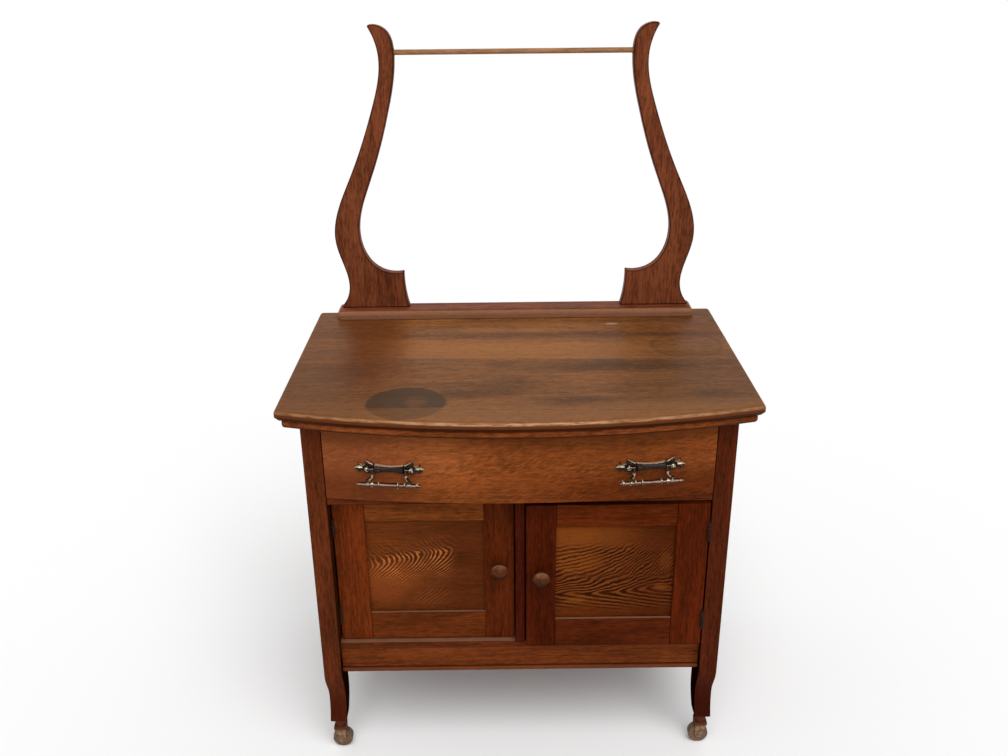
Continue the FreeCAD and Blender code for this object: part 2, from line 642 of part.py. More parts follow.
def drawer_parts():
    """The bowed front, the lapped sides, the back and the grooved bottom."""
    blank = pad("drawer_front_blank", "XY", [
        (-drawer_half, drawer_back_face), (-drawer_half, drawer_end, drawer_radius, TURN_LEFT),
        (drawer_half, drawer_end), (drawer_half, drawer_back_face)], drawer_low, drawer_high - drawer_low)
    side_low = drawer_rail_top + d.drawer_slide_gap
    side_high = drawer_high - d.drawer_side_drop
    outer = drawer_half - d.drawer_side_relief
    inside = outer - d.drawer_side_thick
    rear = back_post_front - d.drawer_back_clear
    floor = side_low + d.drawer_bottom_rise
    bottom = block("drawer_bottom", (-inside - d.drawer_groove, inside + d.drawer_groove),
                   (drawer_back_face - d.drawer_groove, rear), (floor, floor + d.drawer_bottom_thick))
    back_board = block("drawer_back", (-inside - d.drawer_groove, inside + d.drawer_groove),
                       (rear - d.drawer_side_thick * 2, rear - d.drawer_side_thick),
                       (floor + d.drawer_bottom_thick, side_high - d.drawer_bottom_rise))
    body = block("drawer_side_body", (-outer, -inside), (drawer_back_face, rear), (side_low, side_high))
    lap = block("drawer_side_lap", (-outer, -inside), (drawer_back_face - d.drawer_lap, drawer_back_face),
                (drawer_low + d.drawer_lap, side_high))
    side = cut("drawer_side", fuse("drawer_side", body, lap), bottom, back_board)
    other_lap = mirror("drawer_side_lap", lap)
    keep("drawer_bottom", bottom)
    keep("drawer_back", back_board)
    keep("drawer_side_left", side)
    keep("drawer_side_right", mirror("drawer_side", side))
    bores = pulls()
    keep("drawer_front", cut("drawer_front", blank, bottom, lap, other_lap, *bores))


def pull_place(side):
    """Where a pull sits: tangent to the bowed face, at its offset from the middle."""
    lean = math.degrees(math.asin(pull_offset.value / drawer_radius.value)) * side
    height = drawer_low + d.pull_rise
    middle = Vector(pull_offset.value * side, drawer_face(pull_offset).value, height.value)
    return Placement(middle, Rotation(Vector(0, 0, 1), lean))


def plate_outline():
    """The cast plate's outline: a waisted column, ears over the bolts, lobes under them and fleur ends."""
    column = d.column_length / 2
    column_end = d.column_end / 2
    root = d.plate_root / 2
    neck = d.plate_neck / 2
    tip = d.pull_length / 2
    waist = bow_radius(column, (d.column_end - d.column_waist) / 2)
    lobe = bow_radius(d.plate_neck_at - d.lobe_at, d.lobe_drop - neck)
    back_of_lobe = bow_radius(d.lobe_at - d.plate_root_at, d.lobe_drop - root)
    right = [(column, column_end), (d.plate_root_at, root, d.ear_hollow, TURN_LEFT),
             (d.ear_at, d.ear_rise, d.ear_hollow, TURN_LEFT), (d.ear_foot_at, root),
             (d.plate_neck_at, neck, d.fleur_hollow, TURN_LEFT),
             (d.fleur_at, d.fleur_rise, d.ear_hollow, TURN_LEFT),
             (tip, ZERO, d.ear_hollow, TURN_LEFT), (d.fleur_at, -d.fleur_drop, d.fleur_hollow, TURN_LEFT),
             (d.plate_neck_at, -neck, lobe, TURN_RIGHT), (d.lobe_at, -d.lobe_drop, back_of_lobe, TURN_RIGHT),
             (d.plate_root_at, -root), (column, -column_end, waist, TURN_LEFT)]
    return right + mirrored_outline(right, (-column, column_end, waist, TURN_LEFT))


def mirrored_outline(right, last):
    """A half outline's corners on the other side, in the order that closes it. Last is its closing corner."""
    left = []
    for number in range(len(right) - 1, 0, -1):
        x, y = right[number][:2]
        left.append((-x, y) + tuple(right[number - 1][2:]))
    return left + [last]


def spindle(name, corners, start, direction):
    """A turned relief that lies on the plate's front, from a start along a direction in the plate."""
    body = turned(name, corners)
    body.Placement = Placement(start, Rotation(Vector(0, 0, 1), direction))
    return body


def pull_plate(name):
    """Cast backplate with a half column, ridged ears and pointed beads on its front."""
    tip = d.pull_length / 2
    column = d.column_length / 2
    column_end = d.column_end / 2
    waist = bow_radius(column, (d.column_end - d.column_waist) / 2)
    plate = pad(f"{name}_sheet", "XZ", plate_outline(), -d.plate_thick, d.plate_thick)
    front_of_plate = -d.plate_thick.value
    reliefs = [spindle(f"{name}_column", [(ZERO, -column), (column_end, -column, waist, TURN_RIGHT),
                                          (column_end, column), (ZERO, column)],
                       Vector(0, front_of_plate, 0), Vector(1, 0, 0))]
    bead = [(ZERO, ZERO), (d.plate_neck / 2 - d.fleur_bead_tip, ZERO),
            (d.fleur_bead / 2, d.fleur_at - d.plate_neck_at),
            (d.fleur_bead_tip, tip - d.plate_neck_at), (ZERO, tip - d.plate_neck_at)]
    ear = Vector((d.ear_at - d.plate_root_at).value, 0, (d.ear_rise - d.plate_root / 2).value)
    ridge_length = Size.of(ear.Length)
    ridge = [(ZERO, ZERO), (d.ear_ridge / 2, ZERO), (d.ear_ridge_tip / 2, ridge_length), (ZERO, ridge_length)]
    for number, side in enumerate((-1, 1)):
        fleur = Vector(d.plate_neck_at.value * side, front_of_plate, 0)
        reliefs.append(spindle(f"{name}_bead{number}", bead, fleur, Vector(side, 0, 0)))
        root = Vector(d.plate_root_at.value * side, front_of_plate, d.plate_root.value / 2)
        reliefs.append(spindle(f"{name}_ridge{number}", ridge, root, Vector(ear.x * side, 0, ear.z)))
    front_half = block(f"{name}_clip", (-tip, tip), (-d.plate_thick - d.column_end, -d.plate_thick / 2),
                       (-d.column_end, d.column_end))
    rib = doc.addObject("Part::Common", f"{name}_rib")
    rib.Base = fuse(f"{name}_reliefs", *reliefs)
    rib.Tool = front_half
    bores = [rod(f"{name}_bore{number}", d.bolt_diameter, d.plate_thick, d.pull_spacing / 2 * side,
                 -d.plate_thick, ZERO, "y") for number, side in enumerate((-1, 1))]
    return cut(name, fuse(name, plate, rib), *bores)


def pull_bolt(name, side, shank):
    """A bolt whose round head holds one end of the bail in a cross hole."""
    post = d.bolt_post / 2
    head = d.bolt_head / 2
    thread = d.bolt_diameter / 2
    dome = bow_radius(head, d.bolt_dome)
    stalk = turned(f"{name}_stalk", [
        (ZERO, -shank), (thread, -shank), (thread, d.plate_thick), (post, d.plate_thick),
        (post, d.bolt_reach), (head, d.bolt_reach, dome, TURN_LEFT), (ZERO, d.bolt_reach + d.bolt_dome)])
    stalk.Placement = Placement(Vector(), Rotation(Vector(1, 0, 0), 90))
    place(stalk, d.pull_spacing / 2 * side)
    eye_start = d.pull_spacing / 2 * side - d.bolt_post / 2
    eye = rod(f"{name}_eye", d.bail_pin + d.bail_fit * 2, d.bolt_post, eye_start, -d.bail_pivot, ZERO, "x")
    return cut(name, stalk, eye)


def bail_shape():
    """The swinging handle: a turned bar on two S-curved legs with pivot pins."""
    hook = (d.pull_spacing - d.bolt_head - d.bail_leg).value / 2 - d.bail_hook_inset.value
    leg = d.bail_leg.value / 2
    parts = []
    for side in (-1, 1):
        top = Vector(hook * side, -d.bail_pivot.value, 0)
        knee = top - Vector(0, 0, d.bail_neck.value)
        foot = Vector(d.bail_bar_spacing.value / 2 * side, -d.bail_stand.value, -d.bail_drop.value)
        middle = (knee + foot) / 2
        sway = Vector(foot.x - knee.x, foot.y - knee.y, 0)
        lean = sway.Length
        drop = knee.z - foot.z
        radius = (drop * drop + lean * lean) / (4 * lean)
        bulge = radius - math.sqrt(radius * radius - (drop * drop + lean * lean) / 16)
        chord = (middle - knee).normalize()
        sway.normalize()
        outward = (sway - chord * sway.dot(chord)).normalize()
        neck = Part.LineSegment(top, knee).toShape()
        first = Part.Arc(knee, (knee + middle) / 2 - outward * bulge, middle).toShape()
        second = Part.Arc(middle, (middle + foot) / 2 + outward * bulge, foot).toShape()
        section = Part.Wire([Part.Circle(top, Vector(0, 0, 1), leg).toShape()])
        parts.append(Part.Wire([neck, first, second]).makePipeShell([section], True, False))
        parts.append(Part.makeSphere(leg, top))
        pin = d.bail_pin.value / 2
        reach = d.pull_spacing.value / 2 - hook
        parts.append(Part.makeCylinder(pin, reach, top, Vector(side, 0, 0)))
        parts.append(Part.makeSphere(d.bail_ball.value / 2, foot))
        flare = d.bail_foot_height.value
        parts.append(Part.makeCone(d.bail_foot.value / 2, leg, flare, foot, Vector(0, 0, 1)))
    bar = bail_bar()
    bar.translate(Vector(0, -d.bail_stand.value, -d.bail_drop.value))
    return bar.fuse(parts).removeSplitter()


def bail_bar():
    """The turned bar of the handle along X: a waisted middle, discs, and a small finial on each end."""
    plain = d.bail_bar_diameter.value / 2
    edge = d.bail_ring_edge.value
    half_width = d.bail_ring_width.value / 2

    def disc(diameter, at):
        rim = diameter.value / 2
        low = at.value - half_width
        high = at.value + half_width
        return [(plain, low), (rim - edge, low), (rim, low + edge), (rim, high - edge),
                (rim - edge, high), (plain, high)]

    end = d.bail_bar.value / 2
    half = [(d.bail_bar_waist.value / 2, 0), (d.bail_bar_swell.value / 2, d.bail_swell_at.value)]
    half += disc(d.bail_ring, d.bail_ring_at) + disc(d.bail_outer_ring, d.bail_outer_ring_at)
    half += disc(d.bail_end_ring, d.bail_end_ring_at) + [(d.bail_finial.value / 2, end)]
    profile = [(0, -end)] + [(r, -x) for r, x in reversed(half)] + half[1:] + [(0, end), (0, -end)]
    wire = Part.makePolygon([Vector(x, r, 0) for r, x in profile])
    return Part.Face(wire).revolve(Vector(), Vector(1, 0, 0), 360)


def pulls():
    """Both pulls on the drawer front. Returns the bolt holes and nut seats as cutting tools."""
    plates, bolts, nuts, bores = [], [], [], []
    lean = d.pull_spacing / 2 * (pull_offset / drawer_radius)
    deepest = drawer_back_face - drawer_face(pull_offset)
    for word, side in (("left", -1), ("right", 1)):
        where = pull_place(side)
        plate = pull_plate(f"pull_plate_{word}")
        plate.Placement = where
        plates.append(plate)
        for end in (-1, 1):
            name = f"pull_bolt_{word}_{'outer' if end == side else 'inner'}"
            seat = deepest - lean * (end * side) - d.spotface_depth
            bolt = pull_bolt(name, end, seat + d.nut_thick)
            bolt.Placement = where
            bolts.append(bolt)
            bore = rod(f"{name}_bore", d.bolt_diameter, seat + d.spotface_depth * 2, d.pull_spacing / 2 * end,
                       ZERO, ZERO, "y")
            pocket = rod(f"{name}_pocket", d.spotface, d.spotface_depth * 3, d.pull_spacing / 2 * end, seat,
                         ZERO, "y")
            hole = fuse(f"{name}_hole", bore, pocket)
            hole.Placement = where
            bores.append(hole)
            blank = rod(f"{name}_nut_blank", d.nut_width, d.nut_thick, d.pull_spacing / 2 * end, seat,
                        ZERO, "y")
            nut = cut(f"{name}_nut", blank, rod(f"{name}_thread", d.bolt_diameter, d.nut_thick,
                                                d.pull_spacing / 2 * end, seat, ZERO, "y"))
            nut.Placement = where
            nuts.append(nut)
        bail = doc.addObject("Part::Feature", f"bail_{word}")
        bail.Shape = bail_shape()
        bail.Placement = where
        keep(f"bail_{word}", bail)
    keep("pull_plates", group("pull_plates", *plates))
    keep("pull_bolts", group("pull_bolts", *bolts))
    keep("pull_nuts", group("pull_nuts", *nuts))
    return bores


# Harp planes
base_back = top_back - d.base_rail_back
base_front = base_back - d.base_rail_depth
base_top = d.top_height + d.base_rail_height
harp_rear = top_back - d.harp_back
harp_front = harp_rear - d.harp_thick
base_half = d.top_width / 2 - d.base_rail_margin
foot_outer = base_half - d.harp_foot_margin


def harp_shape():
    """The right harp: two smooth curves from its foot to its tip, sawn from a board."""
    def station(inset, rise):
        return Vector((foot_outer - inset).value, harp_front.value, (base_top + rise).value)

    def curve(*stations):
        line = Part.BSplineCurve()
        line.interpolate(list(stations))
        return line.toShape()

    neck_rise = d.harp_height - d.harp_neck_drop
    throat_rise = d.harp_height - d.harp_throat_drop
    arm_inset = (d.harp_neck_inset - d.harp_belly_swell) / 2 - d.harp_arm_swell
    arm_rise = (d.harp_belly_rise + neck_rise) / 2
    stations = [(-d.harp_belly_swell, d.harp_belly_rise, d.harp_belly_width),
                (arm_inset, arm_rise, d.harp_arm_width),
                (d.harp_neck_inset, neck_rise, d.harp_neck_width),
                (d.harp_throat_inset, throat_rise, d.harp_throat_width)]
    outside = [station(inset, rise) for inset, rise, width in stations]
    inside = [station(inset + width, rise) for inset, rise, width in reversed(stations)]
    foot_out = station(ZERO, ZERO)
    foot_in = station(d.harp_foot_width, ZERO)
    waist = station(d.harp_waist_inset, d.harp_waist_rise)
    tip = station(d.harp_tip_inset, d.harp_height - d.harp_tip_drop)
    crest = station(d.harp_crest_inset, d.harp_height)
    crown = station(d.harp_crown_inset, d.harp_height - d.harp_crown_drop)
    bowl = station(d.harp_bowl_inset, d.harp_bowl_rise)
    shelf = station(d.harp_shelf_inset, d.harp_shelf_rise)
    ear = station(d.harp_ear_inset, d.harp_ear_rise)
    dip = station((d.harp_shelf_inset + d.harp_ear_inset) / 2,
                  (d.harp_shelf_rise + d.harp_ear_rise) / 2 - d.harp_shelf_dip)
    hollow = station((d.harp_foot_width + d.harp_ear_inset) / 2 - d.harp_foot_hollow, d.harp_ear_rise / 2)
    edges = [Part.LineSegment(foot_in, foot_out).toShape(), curve(foot_out, waist, *outside, tip),
             curve(tip, crest, crown, *inside, bowl, shelf), Part.Arc(shelf, dip, ear).toShape(),
             Part.Arc(ear, hollow, foot_in).toShape()]
    return Part.Face(Part.Wire(edges)).extrude(Vector(0, d.harp_thick.value, 0))


def harp_parts(top):
    """The moulded rail housed in the top's back edge, the two harps tenoned into it, and the towel rod."""
    rail = pad("harp_base_rail", "XY", [(-base_half, base_back), (-base_half, base_front),
                                        (base_half, base_front), (base_half, base_back)],
               d.top_height - d.base_rail_housing, d.base_rail_height + d.base_rail_housing)
    soften(rail, "Fillet", d.base_rail_round, lambda edge: upright(edge) and before(edge, base_back))
    rail_top = level((d.base_rail_height + d.base_rail_housing).value)
    soften(rail, "Fillet", d.base_rail_round, lambda edge: rail_top(edge) and before(edge, base_back))
    rod_end = foot_outer - d.harp_throat_inset - d.harp_throat_width + d.rod_seat
    harp_middle = harp_front + d.harp_thick / 2
    towel_rod = rod("towel_rod", d.rod_diameter, rod_end * 2, -rod_end, harp_middle,
                    base_top + d.harp_height - d.rod_drop, "x")
    board = doc.addObject("Part::Feature", "harp_board")
    board.Shape = harp_shape()
    shoulder = d.harp_foot_width / 6
    tenon = block("harp_tenon", (foot_outer - d.harp_foot_width + shoulder, foot_outer - shoulder),
                  (harp_middle - d.harp_tenon_thick / 2, harp_middle + d.harp_tenon_thick / 2),
                  (base_top - d.harp_tenon, base_top))
    harp = cut("harp", fuse("harp", board, tenon), towel_rod)
    keep("harp_right", harp)
    keep("harp_left", mirror("harp", harp))
    keep("towel_rod", towel_rod)
    keep("top_board", cut("top_board", top, rail))
    keep("harp_base_rail", cut("harp_base_rail", rail, tenon, mirror("harp_tenon", tenon)))


wheel_radius = d.wheel_diameter / 2


def caster(word, x, y, trail):
    """A swivelling horn with its axle, and a wheel that trails to one side. Returns its socket."""
    name = f"caster_{word}"
    arm_in = d.wheel_width / 2 + d.horn_play
    arm_out = arm_in + d.horn_thick
    crown_half = d.horn_crown_width / 2
    crown_high = d.horn_crown_low + d.horn_crown_thick
    eye = d.horn_eye / 2
    axle_x = d.caster_trail * trail
    outline = [(-crown_half, crown_high), (axle_x - eye, wheel_radius), (axle_x + eye, wheel_radius),
               (crown_half, crown_high)]
    arms = []
    for number, start in enumerate((-arm_out, arm_in)):
        arms.append(pad(f"{name}_arm{number}", "XZ", outline, start, d.horn_thick))
        arms.append(rod(f"{name}_eye{number}", d.horn_eye, d.horn_thick, axle_x, start, wheel_radius, "y"))
    bridge = block(f"{name}_bridge", (-crown_half, crown_half), (-arm_out, arm_out),
                   (d.horn_crown_low, crown_high))
    flange_low = d.foot_height - d.socket_flange_thick
    neck_high = flange_low - d.socket_gap
    stem_high = d.foot_height + d.stem_length - d.socket_gap
    stem = turned(f"{name}_stem", [
        (ZERO, crown_high), (d.horn_neck / 2, crown_high), (d.horn_neck / 2, neck_high),
        (d.stem_diameter / 2, neck_high), (d.stem_diameter / 2, stem_high), (ZERO, stem_high)])
    axle_hole = rod(f"{name}_axle_hole", d.axle_diameter, arm_out * 2, axle_x, -arm_out, wheel_radius, "y")
    horn = cut(f"{name}_horn", fuse(f"{name}_horn", bridge, stem, *arms), axle_hole)
    axle_end = arm_out + d.axle_head_thick
    axle_part = turned(f"{name}_axle", [
        (ZERO, -axle_end), (d.axle_head / 2, -axle_end), (d.axle_head / 2, -arm_out),
        (d.axle_diameter / 2, -arm_out), (d.axle_diameter / 2, arm_out), (d.axle_head / 2, arm_out),
        (d.axle_head / 2, axle_end), (ZERO, axle_end)])
    axle_part.Placement = Placement(Vector(), Rotation(Vector(1, 0, 0), 90))
    place(axle_part, axle_x, ZERO, wheel_radius)
    keep(f"{name}_horn", place(group(f"{name}_horn", horn, axle_part), x, y))

    rim = d.wheel_width / 2
    bore = d.axle_diameter / 2 + d.axle_fit
    wheel = turned(f"{name}_wheel", [
        (bore, -rim), (wheel_radius - d.wheel_edge, -rim, d.wheel_edge, TURN_LEFT),
        (wheel_radius, d.wheel_edge - rim), (wheel_radius, rim - d.wheel_edge, d.wheel_edge, TURN_LEFT),
        (wheel_radius - d.wheel_edge, rim), (bore, rim)])
    wheel.Placement = Placement(Vector(), Rotation(Vector(1, 0, 0), 90))
    keep(f"{name}_wheel", place(wheel, x + axle_x, y, wheel_radius))

    tube_high = d.foot_height + d.stem_length
    socket = turned(f"{name}_socket", [
        (socket_bore / 2, flange_low), (d.socket_flange / 2, flange_low),
        (d.socket_flange / 2, d.foot_height), (socket_tube / 2, d.foot_height),
        (socket_tube / 2, tube_high), (socket_bore / 2, tube_high)])
    return place(socket, x, y)


def casters():
    sockets = []
    for word, (x, y), side in (("front_left", front_foot, 1), ("front_right", front_foot, -1),
                               ("back_left", back_foot, 1), ("back_right", back_foot, -1)):
        sockets.append(caster(word, x * side, y, side))
    keep("caster_sockets", group("caster_sockets", *sockets))


def check_and_write():
    """Writes each sub-part once every object has been made without an error."""
    doc.recompute()
    failed = [thing.Name for thing in doc.Objects if {"Invalid", "Error"} & set(thing.State)]
    bad = [node for node, thing in pieces.items() if thing.Shape.isNull() or not thing.Shape.isValid()]
    empty = [node for node, thing in pieces.items() if not thing.Shape.Solids]
    if failed or bad or empty:
        raise RuntimeError(f"not built: {failed} bad shapes: {bad} no solids: {empty}")
    os.makedirs("parts", exist_ok=True)
    for node, thing in pieces.items():
        thing.Shape.exportStep(f"parts/{node}.step")
    print(len(pieces), "sub-parts written")


top_blank = top_parts()
case_parts()
stops_and_runners()
doors()
drawer_parts()
harp_parts(top_blank)
casters()
check_and_write()
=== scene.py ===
"""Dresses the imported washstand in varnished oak, turned wood and aged metal."""

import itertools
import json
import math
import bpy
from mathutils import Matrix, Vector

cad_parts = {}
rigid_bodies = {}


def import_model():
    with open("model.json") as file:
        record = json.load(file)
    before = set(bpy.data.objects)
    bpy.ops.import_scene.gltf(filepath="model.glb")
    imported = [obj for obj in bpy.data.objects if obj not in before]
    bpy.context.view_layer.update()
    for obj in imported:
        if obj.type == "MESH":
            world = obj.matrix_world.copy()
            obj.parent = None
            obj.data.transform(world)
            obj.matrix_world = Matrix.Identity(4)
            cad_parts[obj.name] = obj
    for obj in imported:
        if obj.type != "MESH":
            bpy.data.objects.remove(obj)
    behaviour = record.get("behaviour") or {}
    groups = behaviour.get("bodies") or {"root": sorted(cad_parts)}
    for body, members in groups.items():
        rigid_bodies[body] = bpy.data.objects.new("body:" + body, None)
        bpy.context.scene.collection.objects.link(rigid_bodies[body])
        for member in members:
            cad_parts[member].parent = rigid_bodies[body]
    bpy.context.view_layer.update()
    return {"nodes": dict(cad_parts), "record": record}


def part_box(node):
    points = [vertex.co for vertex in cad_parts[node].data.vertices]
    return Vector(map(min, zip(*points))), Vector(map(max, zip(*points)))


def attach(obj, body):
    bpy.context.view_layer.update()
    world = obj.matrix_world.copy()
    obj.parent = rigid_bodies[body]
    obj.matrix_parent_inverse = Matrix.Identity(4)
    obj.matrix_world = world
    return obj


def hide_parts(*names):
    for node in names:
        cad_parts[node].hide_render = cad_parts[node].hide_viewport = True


bl_info = {
    "name": "Commode Washstand",
    "version": (1, 0, 0),
    "blender": (4, 5, 0),
    "location": "View3D > Sidebar > Washstand",
    "description": "Dresses the packed washstand in varnished oak, turned wood and aged metal",
    "category": "Object",
}

import bmesh
import bpy
from mathutils import Matrix, Vector

# Blender's own start-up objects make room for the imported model
for leftover in list(bpy.data.objects):
    bpy.data.objects.remove(leftover)
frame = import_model()

# Lengths are in metres, waves are to the metre, and a pair is where a shade begins and where it is full
MERGE_REACH = 0.000005
FLAT_TURN = math.radians(1.0)
SHARP_TURN = math.radians(32.0)
ARRIS_SEGMENTS = 2
SIDES = ("left", "right")
ENDS = ("front", "back")
OPAQUE = (1.0,)
WHITE = (1.0, 1.0, 1.0, 1.0)

# Sockets of a Mix node that works on colours
MIX_SHARE = 0
MIX_FIRST = 6
MIX_SECOND = 7
MIX_RESULT = 2

BODY_OF = {node: body for body, nodes in frame["record"]["behaviour"]["bodies"].items() for node in nodes}


def lowest(node):
    """The height of a node's lowest point."""
    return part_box(node)[0][2]


def highest(node):
    """The height of a node's highest point."""
    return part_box(node)[1][2]


def tint(colour, factor=1.0):
    """A colour with its opacity, made lighter or darker by a factor."""
    return tuple(channel * factor for channel in colour[:3]) + OPAQUE


def dyed(colour, dye):
    """A colour with each channel multiplied by that of a dye."""
    return tuple(channel * strength for channel, strength in zip(colour, dye))


class Signal:
    """A shader output that takes part in plain arithmetic."""

    def __init__(self, finish, socket):
        self.finish = finish
        self.socket = socket

    def maths(self, operation, first, second=0.0):
        return self.finish.node("ShaderNodeMath", {"operation": operation}, {0: first, 1: second})

    def __add__(self, other):
        return self.maths("ADD", self, other)

    __radd__ = __add__

    def __sub__(self, other):
        return self.maths("SUBTRACT", self, other)

    def __rsub__(self, other):
        return self.maths("SUBTRACT", other, self)

    def __mul__(self, other):
        return self.maths("MULTIPLY", self, other)

    __rmul__ = __mul__

    def __truediv__(self, other):
        return self.maths("DIVIDE", self, other)

    def __abs__(self):
        return self.maths("ABSOLUTE", self)

    def root(self):
        return self.maths("SQRT", self)

    def sine(self):
        return self.maths("SINE", self)

    def most(self, other):
        return self.maths("MAXIMUM", self, other)


class Finish:
    """A material under way, with the few nodes that the finishes below share."""

    def __init__(self, name):
        self.material = bpy.data.materials.new(name)
        self.material.use_nodes = True
        self.tree = self.material.node_tree
        self.shader = self.tree.nodes["Principled BSDF"]

    def node(self, kind, settings=None, inputs=None, output=0):
        """Adds a node: its settings first, then the values or links of its sockets."""
        made = self.tree.nodes.new(kind)
        for key, value in (settings or {}).items():
            setattr(made, key, value)
        for key, value in (inputs or {}).items():
            if isinstance(value, Signal):
                self.tree.links.new(value.socket, made.inputs[key])
            else:
                made.inputs[key].default_value = value
        return Signal(self, made.outputs[output])

    def place(self):
        """The three Object coordinates, in metres."""
        spot = self.node("ShaderNodeTexCoord", output="Object")
        split = self.node("ShaderNodeSeparateXYZ", inputs={0: spot}).socket.node
        return [Signal(self, split.outputs[axis]) for axis in "XYZ"]

    def facing(self, axis):
        """How far the surface itself faces along X, Y or Z, from -1 to 1."""
        turn = self.node("ShaderNodeTexCoord", output="Normal")
        return self.node("ShaderNodeSeparateXYZ", inputs={0: turn}, output=axis)

    def vector(self, x, y, z):
        return self.node("ShaderNodeCombineXYZ", inputs={0: x, 1: y, 2: z})

    def noise(self, spot, detail=2.0, roughness=0.5, distortion=0.0):
        """Noise from 0 to 1."""
        inputs = {"Vector": spot, "Scale": 1.0, "Detail": detail, "Roughness": roughness,
                  "Distortion": distortion}
        return self.node("ShaderNodeTexNoise", {"noise_dimensions": "3D"}, inputs)

    def waver(self, spot, detail=2.0, roughness=0.5, distortion=0.0):
        """Noise about zero, from -0.5 to 0.5."""
        return self.noise(spot, detail, roughness, distortion) - 0.5

    def step(self, value, low, high):
        """0 up to low and 1 from high, smooth between them; falling where low is the higher."""
        settings = {"interpolation_type": "SMOOTHSTEP", "clamp": True}
        inputs = {"Value": value, "From Min": low, "From Max": high, "To Min": 0.0, "To Max": 1.0}
        return self.node("ShaderNodeMapRange", settings, inputs)

    def mix(self, share, first, second, blend="MIX"):
        """The first colour, with a share of the second laid over it."""
        settings = {"data_type": "RGBA", "blend_type": blend, "clamp_factor": True}
        inputs = {MIX_SHARE: share, MIX_FIRST: first, MIX_SECOND: second}
        return self.node("ShaderNodeMix", settings, inputs, MIX_RESULT)

    def dye(self, share, colour, strength):
        """A colour multiplied by a factor in each channel, which also serves for painted light and shade."""
        return self.mix(share, colour, tint(strength), "MULTIPLY")

    def bump(self, height, depth, strength):
        return self.node("ShaderNodeBump", inputs={"Height": height, "Distance": depth, "Strength": strength})

    def shine(self, **values):
        """Sets or links the shader's own sockets; an underline in a name stands for a space."""
        for key, value in values.items():
            socket = self.shader.inputs[key.replace("_", " ")]
            if isinstance(value, Signal):
                self.tree.links.new(value.socket, socket)
            else:
                socket.default_value = value


BOARD_ROUGHNESS = 0.42
BOARD_GLOSS = 0.035
VARNISH_TINT = (1.0, 0.5, 0.24, 1.0)
# Pale ledges: dust and a painted highlight
LEDGE_DUST_AND_HIGHLIGHT = (0.25, 0.115, 0.065)
LEDGE_SKIN = (0.0006, 0.0001)
# Edges are darker by this factor: old varnish and dirt in the joints, and painted shade where they round away
EDGE_SHADE = 0.5


class Oak(Finish):
    """Varnished oak whose grain runs along one axis.

    Its patterns are given as waves to the metre, along the grain and across it.
    """

    STREAKS = (2.6, 42.0)
    FIBRES = (16.0, 420.0)
    FLECKS = (55.0, 210.0)
    PATCHES = (7.0, 16.0)
    PORES = (46.0, 620.0)
    DUST = (30.0, 90.0)
    SIDE_SHIFT = 3.1
    FACE_SHIFT = 1.7
    DARK_GRAIN = 0.58
    LIGHT_GRAIN = 1.5
    PORE_SHADE = 0.3
    PORE_DEPTH = 0.6
    PATCH_HEIGHT = 0.5
    RELIEF = 0.0006
    RELIEF_STRENGTH = 0.35
    PATCH_ROUGHNESS = 0.22
    PORE_ROUGHNESS = 0.15

    def __init__(self, name, colour, grain, seed, contrast=1.0):
        super().__init__(name)
        self.x, self.y, self.z = self.place()
        order = {"X": (self.x, self.y, self.z), "Y": (self.y, self.x, self.z), "Z": (self.z, self.x, self.y)}
        self.along, self.side, self.face = order[grain]
        self.seed = seed
        self.contrast = contrast
        self.colour = colour

    def stretched(self, waves):
        """Noise coordinates with so many waves to the metre along the grain and across it."""
        along, across = waves
        return self.vector(self.along * along + self.seed, self.side * across + self.seed * self.SIDE_SHIFT,
                           self.face * across + self.seed * self.FACE_SHIFT)

    def turned(self, angle):
        """Places along and across a line that rises by an angle, seen from the front."""
        length = self.x * math.cos(angle) + self.z * math.sin(angle)
        width = self.z * math.cos(angle) - self.x * math.sin(angle)
        return length, width

    def body(self):
        """The wood's own colour: broad streaks, fine fibres, short flecks, patchy varnish and open pores."""
        streak = self.waver(self.stretched(self.STREAKS), detail=3.0, roughness=0.6, distortion=0.5)
        fibre = self.waver(self.stretched(self.FIBRES))
        fleck = self.waver(self.stretched(self.FLECKS), detail=3.0, roughness=0.7)
        self.patch = self.noise(self.stretched(self.PATCHES), detail=3.0, roughness=0.6)
        self.pores = self.step(self.noise(self.stretched(self.PORES), detail=1.0), 0.6, 0.72)
        tone = streak + fibre + fleck * 1.3 + (self.patch - 0.5) * 0.8
        share = self.step(tone * self.contrast + 0.5, 0.0, 1.0)
        wood = self.mix(share, tint(self.colour, self.DARK_GRAIN), tint(self.colour, self.LIGHT_GRAIN))
        return self.mix(self.pores * (0.5 * self.contrast), wood, tint(self.colour, self.PORE_SHADE))

    def dusty_lit_ledge(self, wood, height):
        """A ledge at a height, made pale by dust and rubbing, and by a painted highlight on its top."""
        rub = self.noise(self.stretched(self.DUST), detail=3.0, roughness=0.6)
        above = self.step(self.z, height - LEDGE_SKIN[0], height - LEDGE_SKIN[1])
        return self.mix(above * (rub * 0.6 + 0.45), wood, tint(LEDGE_DUST_AND_HIGHLIGHT))

    def varnish(self, wood, roughness=BOARD_ROUGHNESS, gloss=BOARD_GLOSS):
        """Joins the colour to the shader, with an uneven varnish over it."""
        height = self.pores * -self.PORE_DEPTH + self.patch * self.PATCH_HEIGHT
        rough = self.patch * self.PATCH_ROUGHNESS + (roughness - self.PATCH_ROUGHNESS / 2.0)
        self.shine(Base_Color=wood, Roughness=rough + self.pores * self.PORE_ROUGHNESS,
                   Normal=self.bump(height, self.RELIEF, self.RELIEF_STRENGTH),
                   Specular_IOR_Level=gloss, Specular_Tint=VARNISH_TINT)
        return self.material


